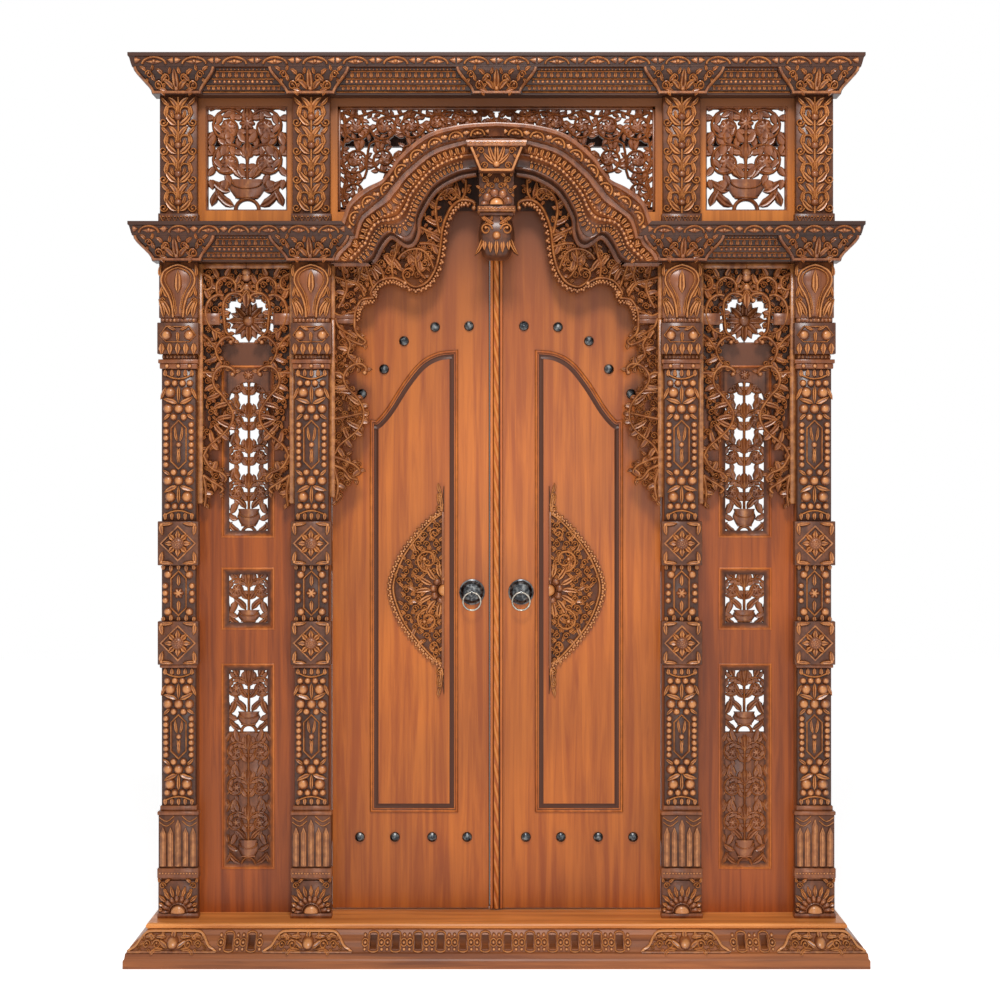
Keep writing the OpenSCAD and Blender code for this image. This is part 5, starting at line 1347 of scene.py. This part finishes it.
UPPER_SIDE, WINGS = upper_side_panel(), wing_panels()
for word, side in SIDES:
    carve(f"upper_{word}_panel", UPPER_SIDE.moved(x=side * BAY_X), tone=0.78)
    for kind, carving in WINGS.items():
        carve(f"{word}_wing_{kind}", carving.moved(x=side * BAY_X), tone=0.82)
carve("upper_centre_panel", upper_centre_panel(), tone=0.75)

# %% [markdown]
# ## Leaves of the door
# Each leaf carries half of a carved medallion, and the right leaf a carved strip that covers the gap
# between them. On the real door both are glued and pegged on. They ride on their leaf, so they swing with it.

# %% Medallions and meeting strip
MEDAL_X, MEDAL_Z, MEDAL_D = 160.0, 1098.0, 116.0
MEDAL_FACE, MEDAL_BED = MEDAL_D - 6, MEDAL_D - 5
MEDAL_EDGE = [(2, 318), (6, 270), (15, 236), (46, 214), (87, 170), (132, 110), (159, 50), (168, 6),
              (159, -40), (132, -102), (87, -162), (46, -206), (15, -228), (6, -266), (2, -318)]


def medallion_tips(work):
    """Scrolls and leaves above and below the sun, out to both points of the medallion."""
    for s in (-1, 1):
        volute(work, 50, s * 92, 36, -90 * s, s * 1.3, 11, MEDAL_FACE, 11, MEDAL_BED)
        volute(work, 28, s * 176, 18, -90 * s, s * 1.3, 7, MEDAL_FACE, 8, MEDAL_BED)
        leaf(work, 6, s * 226, s * 86, 90, 14, MEDAL_FACE, 6, MEDAL_BED, 0)
        for z, r in ((250, 11), (288, 9)):
            volute(work, 13, s * z, r, -90 * s, s * 1.2, 6, MEDAL_D - 4, 7, MEDAL_D, 16)
            leaf(work, 12, s * (z + 10), s * 70, 30, 13, MEDAL_D - 4, 6, MEDAL_D, s * 0.6)
        leaf(work, 84, s * 112, s * 60, 40, 18, MEDAL_FACE, 6, MEDAL_BED, 0.6 * s)
        leaf(work, 60, s * 150, s * 40, 36, 16, MEDAL_FACE, 6, MEDAL_BED, 0.6 * s)
        leaf(work, 24, s * 200, s * 60, 34, 14, MEDAL_FACE, 6, MEDAL_BED, 0.6 * s)


def medallion():
    """Right half of the medallion about its straight edge at x = 0."""
    work = Carving()
    edge = smooth(MEDAL_EDGE, 4)
    plate(work, list(map(tuple, edge)) + [(0, -318), (0, 318)], MEDAL_FACE, MEDAL_D, 1.0, (0.15, 0.3))
    points, heading = spaced(smooth(MEDAL_EDGE[1:14], 4), 17, 6)
    tuft = Carving()
    for dx, dz, r in ((-5, -1, 5.5), (5, -1, 5.5), (0, -7, 5)):
        revolve(tuft, dx, dz, 0, *dome_profile(r, 6, 3), 8)
    work.scatter(tuft, points[:, 0] - 3, points[:, 1], MEDAL_BED, heading + np.pi)
    inner = smooth([(x - 12, z) for x, z in MEDAL_EDGE[2:13]], 4)
    strip(work, inner, 4, MEDAL_FACE, 6, MEDAL_BED)
    block(work, 0, 8, MEDAL_D - 13, MEDAL_D - 4, -240, 240, 1.5, 0.7)
    sun = Carving()
    half_sun(sun, 0, 0, 44, 0, 22, 4, 9)
    work.scatter(sun, [0], [0], MEDAL_FACE, -np.pi / 2)
    for a in range(-75, 76, 25):
        t = math.radians(a)
        leaf(work, 40 * math.cos(t), 40 * math.sin(t), a, 56, 24,
             MEDAL_FACE, 8, MEDAL_BED, 0.5 if a > 0 else -0.5)
        leaf(work, 84 * math.cos(t * 0.9), 84 * math.sin(t * 0.9), a + 18, 36, 18,
             MEDAL_FACE, 6, MEDAL_BED, 0.6)
    rim = np.array(MEDAL_EDGE[::-1], float)
    for row, z in enumerate(range(-196, 197, 28)):
        reach = np.interp(z, rim[:, 1], rim[:, 0]) - 26
        for x in np.arange(25 + 7 * (row % 2), reach, 28):
            if x * x + z * z > 62 ** 2:
                sprig(work, x, z, 11, 1 if (row + x // 28) % 2 else -1, MEDAL_FACE, 8, MEDAL_BED)
    medallion_tips(work)
    return work


def meeting_strip(z0, z1):
    """Rod with a leaf twist: height is a half circle across, rippled by a sine that leans with height."""
    z = np.linspace(z0, z1, int((z1 - z0) / 5.5))[:, None]
    a = np.linspace(-1, 1, 21)[None, :]
    ripple = np.sin(2 * np.pi * (z / 58 + 1.1 * a))
    twist = np.sqrt(np.clip(1 - (a / 0.45) ** 2, 0, 1)) * (0.6 + 0.4 * ripple)
    rod = np.where(np.abs(a) > 0.4, 0.4, 0.5 + 0.5 * twist)
    lift = np.where(np.abs(a) > 0.5, 0.62 - 0.3 * (np.abs(a) > 0.95), rod)
    front = np.stack([19.8 * a + 0 * z, LEAF_FACE - 16 * lift, z + 0 * a], axis=-1)
    rear = front[:, [-1, 0]].copy()
    rear[..., 1] = LEAF_FACE
    ring = np.concatenate([front, rear], axis=1)
    shade = np.concatenate([np.clip((lift - 0.38) * 2.4, 0, 1), np.zeros((len(z), 2))], axis=1)
    work = Carving()
    work.tube(ring, shade)
    return work


# Dark block behind the gap between the leaves: its dark finish is painted shade where the background would
# show through.
gap_shade_block = Carving()
free_edge = -high("left_leaf_frame")[0]
block(gap_shade_block, -free_edge - 1, -20.7, 141, 151, low("left_leaf_frame")[2] + 1, high("left_leaf_frame")[2] - 1,
      0.4, 0.1)
make_piece("meeting_seal", gap_shade_block, DARK_TEAK, "left_leaf")
MEDAL = medallion().moved(x=MEDAL_X, z=MEDAL_Z)
carve("right_medallion", MEDAL, "right_leaf")
carve("left_medallion", MEDAL.moved(side=-1), "left_leaf")
twisted = meeting_strip(low("meeting_strip")[2], high("meeting_strip")[2])
make_piece("carved_meeting_strip", twisted, EDGED_TEAK, "right_leaf", instead_of=["meeting_strip"])

# %% [markdown]
# ## Mouldings round the panels
# Each leaf panel is held by a raised moulding with a quirk beside it, and each wing opening by a wide
# splayed bevel down to the thin pierced board; the quirk and the bevel are darkened with painted shade. Both
# are one profile mitred round a closed outline.

# %% Mitred mouldings
PANEL_IN, PANEL_OUT, PANEL_FOOT = 130.0, 375.0, 430.0
SHOULDER_FOOT, SHOULDER_RISE = 1606.0, 214.0
SHOULDER = smooth([(0, 0), (0.06, 0.01), (0.2, 0.2), (0.4, 0.56), (0.6, 0.84), (0.8, 0.97), (1, 1)], 5)
PANEL_WIDE = PANEL_OUT - PANEL_IN
top_line = [(PANEL_OUT - u * PANEL_WIDE, SHOULDER_FOOT + v * SHOULDER_RISE) for u, v in SHOULDER]
panel_line = np.array([(PANEL_IN, PANEL_FOOT), (PANEL_OUT, PANEL_FOOT)] + top_line)
PANEL_PROFILE = [(-13, 115.5), (-12, 114), (-11, 110), (-8, 108.5), (-5, 110), (-3, 115), (0, 118),
                 (3, 119.5), (8, 118.5), (12, 116), (14, 115.7), (14, 121), (-13, 118)]
moulding = Carving()
# The low end of the tone paints the quirk dark as painted shade.
loop_moulding(moulding, panel_line, PANEL_PROFILE, (-0.4, 0.52))
make_piece("right_panel_moulding", moulding, EDGED_TEAK, "right_leaf")
make_piece("left_panel_moulding", moulding.moved(side=-1), EDGED_TEAK, "left_leaf")

BEVEL = [(0, 80), (0, 74), (2, 72.5), (5, 72.5), (6, 75), (8, 77), (20, 84.5), (22, 84.5), (22, 88), (0, 88)]
bevels = Carving()
for kind in ("low_panel", "small_panel", "tall_panel"):
    z0, z1 = OPENINGS[kind]
    # The low end of the tone paints the bevel dark as painted shade round each opening.
    loop_moulding(bevels, rectangle(-WING_HALF, WING_HALF, SILL + z0, SILL + z1), BEVEL, (-0.1, 0.5))
bevels = bevels.moved(x=-BAY_X).join(bevels.moved(x=BAY_X))
make_piece("wing_bevels", bevels, EDGED_TEAK, "frame")

# %% [markdown]
# ## Ornament on the cornices
# The cornice solids stay. On them go the egg band under the cap, four stepped rows of petals and beads
# between the capitals, and on each capital a bordered leaf. Carving on the swelling capital is drawn flat
# and then laid on its curve.

# %% Egg bands, rows and capitals
CORNICE_H = UPPER - CORNICE
CAP_SHARE = 0.64
CAP_TOP = CAP_SHARE * CORNICE_H
CAP_END = OUTER_X + CORE + 66
EGG_SHARE, EGG_DEPTH, EGG_HEIGHT = 0.785, -77.0, 24.0


def capital_leaf(x, z0):
    """Border fillets at the sides and the foot, a palmette in the middle and sprigs beside it."""
    flat = Carving()
    s = np.linspace(0.02, 0.98, 15)
    for side in (-1, 1):
        edge = np.stack([side * (CORE + cap_out(s) - 6), s * CAP_TOP], axis=1)
        strip(flat, edge, 4, 0, 6, 1, FILLET, (0.4, 0.85))
        sprig(flat, side * 52, 22, 13, -side, 0, 8, 1)
        sprig(flat, side * 26, 40, 12, side, 0, 8, 1)
        sprig(flat, side * 76, 50, 11, side, 0, 7, 1)
        leaf(flat, side * 9, 12, 90 - side * 34, 40, 20, 0, 9, 1, -side * 0.9)
        leaf(flat, side * 28, 10, 90 - side * 80, 30, 14, 0, 6, 1, side * 0.6)
    leaf(flat, 0, 10, 90, 56, 28, 0, 10, 1, 0)
    strip(flat, [(-CORE - 18, 5), (CORE + 18, 5)], 4, 0, 6, 1, FILLET, (0.4, 0.85))
    beads(flat, [0], [14], 8, 0, 9)
    laid = flat.laid_on(lambda z: -cap_out(np.clip(z / CAP_TOP, 0, 1)) - 2)
    return laid.moved(x=x, z=z0)


ROWS = [(0.11, 20, 15, leaf_motif(12, 13, 4)), (0.31, 32, 14, bead_motif(5.4)),
        (0.4, 44, 19, leaf_motif(17, 16, 5)), (0.6, 54, 11, bead_motif(3.4))]
FILLETS = [(0.07, 10), (0.22, 21), (0.38, 33), (0.56, 45)]


def cornice_rows(work, z0, x0, x1):
    """Stepped rows between two capitals: petals, beads, petals, beads, each on its own step."""
    for share, out, pitch, motif in ROWS:
        inset = CORE + cap_out(min(share / CAP_SHARE, 1)) + 6
        count = int((x1 - x0 - 2 * inset) / pitch)
        x = (x0 + x1) / 2 + (np.arange(count) - (count - 1) / 2) * pitch
        work.scatter(motif, x, np.full(count, z0 + share * CORNICE_H), -out)
    for share, out in FILLETS:
        inset = CORE + cap_out(min(share / CAP_SHARE, 1)) + 2
        z = z0 + share * CORNICE_H
        strip(work, [(x0 + inset, z), (x1 - inset, z)], 2.6, -out, 6, -out + 1)


def egg_band(work, z0, x0, x1, pitch):
    """Row of arcs and beads under the cap, spread evenly."""
    count = max(int(round((x1 - x0) / pitch)), 1)
    x = x0 + (np.arange(count) + 0.5) * (x1 - x0) / count
    work.scatter(egg_motif(pitch, EGG_HEIGHT), x, np.full(count, z0 + EGG_SHARE * CORNICE_H), EGG_DEPTH)


middle = Carving()
egg_band(middle, CORNICE, 452, CAP_END, 94)
cornice_rows(middle, CORNICE, INNER_X, OUTER_X)
middle = middle.join(capital_leaf(INNER_X, CORNICE), capital_leaf(OUTER_X, CORNICE)).both_sides()
make_piece("cornice_ornament", middle, CARVED_TEAK, tone=0.88)

crown = Carving()
egg_band(crown, CROWN, 0, CAP_END, 113)
cornice_rows(crown, CROWN, INNER_X, OUTER_X)
cornice_rows(crown, CROWN, 0, INNER_X)
crown = crown.join(capital_leaf(INNER_X, CROWN), capital_leaf(OUTER_X, CROWN)).both_sides()
make_piece("crown_ornament", crown.join(capital_leaf(0, CROWN)), CARVED_TEAK, tone=0.93)

# %% [markdown]
# ## Keystone and pendant
# At the head of the arch a keystone holds a palmette, and a pendant hangs from it with a small sun, rows of
# beads and leaf tips. They are carved from thick blocks, so the ornament stands proud of the solids.

# %% Palmette, sun and leaf tips
KEY_BOT, KEY_TOP = low("keystone")[2], CORNICE + 350
KEY_FACE, KEY_BED = -92.0, -91.0
PENDANT_FACE, PENDANT_BED = -54.0, -53.0
DROP_FACE, DROP_BED = -58.0, -40.0
DROP = [(-250, 26, -20), (-236, 42, -44), (-190, 54, -64), (-150, 52, -60), (-124, 44, -46)]
PALMETTE = [(90, 66, 22), (62, 66, 20), (118, 66, 20), (36, 56, 18), (144, 56, 18)]
PENDANT_BLOCKS = [(52, PENDANT_FACE, -96, -0.2, 0.25), (56, DROP_FACE, -112, -96, 0.8),
                  (50, -50, -124, -112, 0.3)]
KEY_SPRIGS = [(34, -18, 10, -1, PENDANT_FACE, 7, PENDANT_BED), (14, -36, 10, 1, PENDANT_FACE, 7, PENDANT_BED),
              (42, -52, 8, 1, PENDANT_FACE, 7, PENDANT_BED), (46, 62, 11, 1, KEY_FACE, 8, KEY_BED),
              (24, -148, 9, 1, DROP_FACE, 8, DROP_BED)]


def key_block(work):
    """Wedge with a cap, and fillets along its sides and foot."""
    wedge = [(-50, KEY_BOT), (50, KEY_BOT), (86, KEY_TOP), (43, KEY_TOP + 6), (-43, KEY_TOP + 6),
             (-86, KEY_TOP)]
    plate(work, wedge, KEY_FACE, 30, 1.5, (0.3, 0.25))
    cap = [(-86, KEY_TOP - 20), (86, KEY_TOP - 20), (90, KEY_TOP), (-90, KEY_TOP)]
    plate(work, cap, -104, -86, 2, (0.5, 0.8))
    for side in (-1, 1):
        edge = [(side * 46, KEY_BOT + 4), (side * 74, KEY_TOP - 22)]
        strip(work, edge, 4, KEY_FACE, 8, KEY_BED, FILLET, (0.4, 0.9))
    strip(work, [(-46, KEY_BOT + 5), (46, KEY_BOT + 5)], 4, KEY_FACE, 7, KEY_BED, FILLET, (0.4, 0.9))


def pendant_body(work):
    """Three blocks and a drop, whose front bulges less towards its sides by the cube of the way across."""
    for x0, front, z0, z1, tone in PENDANT_BLOCKS:
        block(work, -x0, x0, front, 26, KEY_BOT + z0, KEY_BOT + z1, 1.5, tone)
    height, half_width, front = smooth(DROP, 5).T
    turn = np.linspace(-1, 1, 13)
    across = half_width[:, None] * turn
    depth = np.where(np.abs(turn) > 0.99, 20.0, front[:, None] * (1 - 0.35 * np.abs(turn) ** 3))
    work.tube(np.stack([across, depth, KEY_BOT + height[:, None] + 0 * turn], axis=-1), 0.25)


def palmette(work):
    """Fan of leaves with a dome at its foot and volutes beside it, and beads on the cap."""
    for angle, length, width in PALMETTE:
        leaf(work, 0, KEY_BOT + 20, angle, length, width, KEY_FACE, 8, KEY_BED, 0.5 * np.sign(90 - angle))
    for side in (-1, 1):
        volute(work, side * 34, KEY_BOT + 18, 11, 90 - side * 90, side * 1.2, 5, KEY_FACE, 7, KEY_BED)
    revolve(work, 0, KEY_BOT + 22, KEY_FACE, *dome_profile(12, 14), 16)
    beads(work, np.linspace(-76, 76, 13), np.full(13, KEY_TOP - 10), 4.5, -103, 4)


def pendant_front(work):
    """Small sun, sprigs, a row of beads, and leaf tips round a dome on the drop."""
    half_sun(work, 0, KEY_BOT - 92, 48, PENDANT_FACE, 14, PENDANT_BED, 9)
    for side in (-1, 1):
        for x, z, r, way, face, rise, bed in KEY_SPRIGS:
            sprig(work, side * x, KEY_BOT + z, r, way * side, face, rise, bed)
    beads(work, np.linspace(-50, 50, 11), np.full(11, KEY_BOT - 104), 4.6, DROP_FACE, 4)
    for x in (-40, -20, 0, 20, 40):
        leaf(work, x * 0.9, KEY_BOT - 196, -90, 46 - abs(x) * 0.4, 18,
             DROP_FACE + abs(x) * 0.2, 6, DROP_BED, 0, 2)
    for side in (-1, 1):
        volute(work, side * 30, KEY_BOT - 166, 18, 90 + side * 90, -side * 1.3, 8, DROP_FACE, 9, DROP_BED)
        leaf(work, side * 42, KEY_BOT - 190, -90 + side * 14, 56, 16, -42, 12, -20, side * 0.7)
        leaf(work, side * 8, KEY_BOT - 150, 90 - side * 60, 40, 14, DROP_FACE, 8, DROP_BED, side * 0.6)
    revolve(work, 0, KEY_BOT - 184, DROP_FACE + 1, *dome_profile(14, 20), 16)


key = Carving()
key_block(key)
pendant_body(key)
palmette(key)
pendant_front(key)
make_piece("carved_keystone_and_pendant", key, CARVED_TEAK, instead_of=["keystone", "pendant"])

# %% [markdown]
# ## Ornament on the base
# The sloping band of the base has a cartouche in front of each post and a row of framed slots between.
# It is drawn flat and laid on the slope of the base moulding.

# %% Cartouches and slot frames
BASE_SHARE = [0, 0.2, 0.24, 0.36, 0.4, 0.5, 0.62, 0.74, 0.84, 0.86]
BASE_OUT = [80, 80, 76, 74, 67, 62, 48, 30, 20, 17]
CARTOUCHE_EDGE = [(0, 100), (60, 100), (80, 97), (94, 84), (106, 66), (122, 56), (130, 49)]
CARTOUCHE_LEAVES = [(14, 58, 40, 36, 18), (20, 84, 10, 34, 14), (58, 88, 0, 28, 12), (24, 56, 0, 40, 12)]


def base_depth(z):
    """Depth of the base's sloping face at a height."""
    return 80 - BASE_STEP - np.interp(z / SILL, BASE_SHARE, BASE_OUT)


def base_cartouche():
    """Bordered trapezoid with curved flanks, a jewel in the middle and scrolls beside it."""
    work = Carving()
    for side in (-1, 1):
        tendril(work, [(side * x, z) for x, z in CARTOUCHE_EDGE], 7, 7, 0, 2, 4, FILLET, rise=6)
        sprig(work, side * 46, 68, 13, side, 0, 9, 2)
        sprig(work, side * 76, 68, 11, -side, 0, 8, 2)
        sprig(work, side * 98, 60, 6, -side, 0, 6, 2)
        for x, z, angle, length, width in CARTOUCHE_LEAVES:
            leaf(work, side * x, z, 90 - side * (90 - angle), length, width, 0, 8, 2, -side * 0.5)
    strip(work, [(-130, 49), (130, 49)], 3.4, 0, 6, 2, FILLET, (0.4, 0.8))
    revolve(work, 0, 72, 0, *dome_profile(18, 15), 18)
    leaf(work, 0, 84, 90, 18, 22, 0, 10, 2, 0)
    return work


def slot_frame():
    """Upright rims on both sides of a slot, joined by arcs, with a ring and three beads on each side."""
    work = Carving()
    for side in (-1, 1):
        strip(work, [(side * 14, 54), (side * 14, 92)], 2.6, 0, 6, 2)
        strip(work, scroll(side * 24, 73, 9, 9, 90 - side * 90, 1.0, 14), 2.4, 0, 6, 2)
        beads(work, [side * 24, side * 25, side * 25], [73, 56, 90], 5.5, 0, 6)
    a = np.linspace(np.pi, 0, 9)
    strip(work, np.stack([14 * np.cos(a), 91 + 8 * np.sin(a)], axis=1), 2.6, 0, 6, 2)
    strip(work, np.stack([14 * np.cos(a), 55 - 6 * np.sin(a)], axis=1), 2.6, 0, 6, 2)
    return work


band = Carving()
band.scatter(base_cartouche(), [x for place, x in POSTS], np.zeros(len(POSTS)))
slots = np.concatenate([np.arange(-5.5, 6) * 66, [-BAY_X - 33, -BAY_X + 33, BAY_X - 33, BAY_X + 33]])
band.scatter(slot_frame(), slots, np.zeros(len(slots)))
print("slots framed:", len(slots))
make_piece("base_ornament", band.laid_on(base_depth), CARVED_TEAK)

# %% [markdown]
# ## Camera, light and floor
# The photo is a straight front view from about five and a half metres at breast height, on pure white with
# light from high in front, which leaves shade under the cornices and the arch. A lamp high up gives that,
# a weaker one beside the camera fills it, and a pale surround and floor keep the rest soft.

# %% Camera
eye = bpy.data.cameras.new("camera")
eye.sensor_width, eye.lens = 36.0, 67.2
eye.shift_x, eye.shift_y = 0.0035, -0.025
camera = bpy.data.objects.new("camera", eye)
camera.location = (0.0, -5.6275, 1.450)
camera.rotation_euler = (math.pi / 2, 0.0, 0.0)
scene = bpy.context.scene
scene.collection.objects.link(camera)
scene.camera = camera
scene.view_settings.view_transform = "Standard"


# %% Lamps, surround and floor
def lamp(name, place, aim, size, watts):
    """Square area lamp at a place, turned to its aim."""
    data = bpy.data.lights.new(name, "AREA")
    data.size, data.energy = size, watts
    made = bpy.data.objects.new(name, data)
    made.location = place
    direction = np.subtract(aim, place)
    made.rotation_euler = (math.acos(-direction[2] / np.linalg.norm(direction)), 0.0,
                           math.atan2(-direction[0], direction[1]))
    scene.collection.objects.link(made)
    print(name, "at", place)


# The lamps give only part of the shade under the arch and cornices; the leaf, wing and upper-storey finishes
# add painted shade.
lamp("high_lamp", (0.0, -3.0, 4.7), (0, 0, 1.2), 1.0, 128)
lamp("front_lamp", (0.3, -5.4, 1.5), (0, 0, 1.1), 1.6, 34)

world = bpy.data.worlds.new("surround")
scene.world = world
world.use_nodes = True
tree = world.node_tree
tree.nodes.clear()
rays = node(tree, "ShaderNodeLightPath").outputs
seen = node(tree, "ShaderNodeMath", {0: rays["Is Camera Ray"], 1: rays["Is Glossy Ray"]}, operation="MAXIMUM")
seen = node(tree, "ShaderNodeMath", {0: seen.outputs[0], 1: rays["Is Transmission Ray"]}, operation="MAXIMUM")
dim = node(tree, "ShaderNodeBackground", {"Color": (1, 1, 1, 1), "Strength": 0.22})
white = node(tree, "ShaderNodeBackground", {"Color": (1, 1, 1, 1), "Strength": 1.0})
both = node(tree, "ShaderNodeMixShader", {0: seen.outputs[0], 1: dim.outputs[0], 2: white.outputs[0]})
node(tree, "ShaderNodeOutputWorld", {"Surface": both.outputs[0]})

pale, tree, shader = new_material("pale_floor")
fill(tree, shader, {"Base Color": (0.9, 0.9, 0.9, 1), "Roughness": 0.9, "Emission Color": (1, 1, 1, 1),
                    "Emission Strength": 0.75})
ground = bpy.data.meshes.new("floor")
ground.from_pydata([(-9, -9, 0), (9, -9, 0), (9, 9, 0), (-9, 9, 0)], [], [(0, 1, 2, 3)])
ground.materials.append(pale)
floor = bpy.data.objects.new("floor", ground)
scene.collection.objects.link(floor)
floor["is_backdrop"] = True

# %% [markdown]
# ## Size of the whole
# The dressed door should keep to the box of its solids, so the growth of its box over theirs is printed.

# %% Measure
end_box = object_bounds()
added = [piece for piece in scene.objects if piece.type == "MESH" and piece.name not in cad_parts]
for piece in added:
    piece.data.calc_loop_triangles()
counts = sorted((len(piece.data.loop_triangles), piece.name) for piece in added)
print("triangles added:", sum(count for count, name in counts), "largest:", counts[-1])
grown = (end_box[1] - end_box[0]) - (cad_box[1] - cad_box[0])
print("grown by (mm):", [round(v / MM, 1) for v in grown])
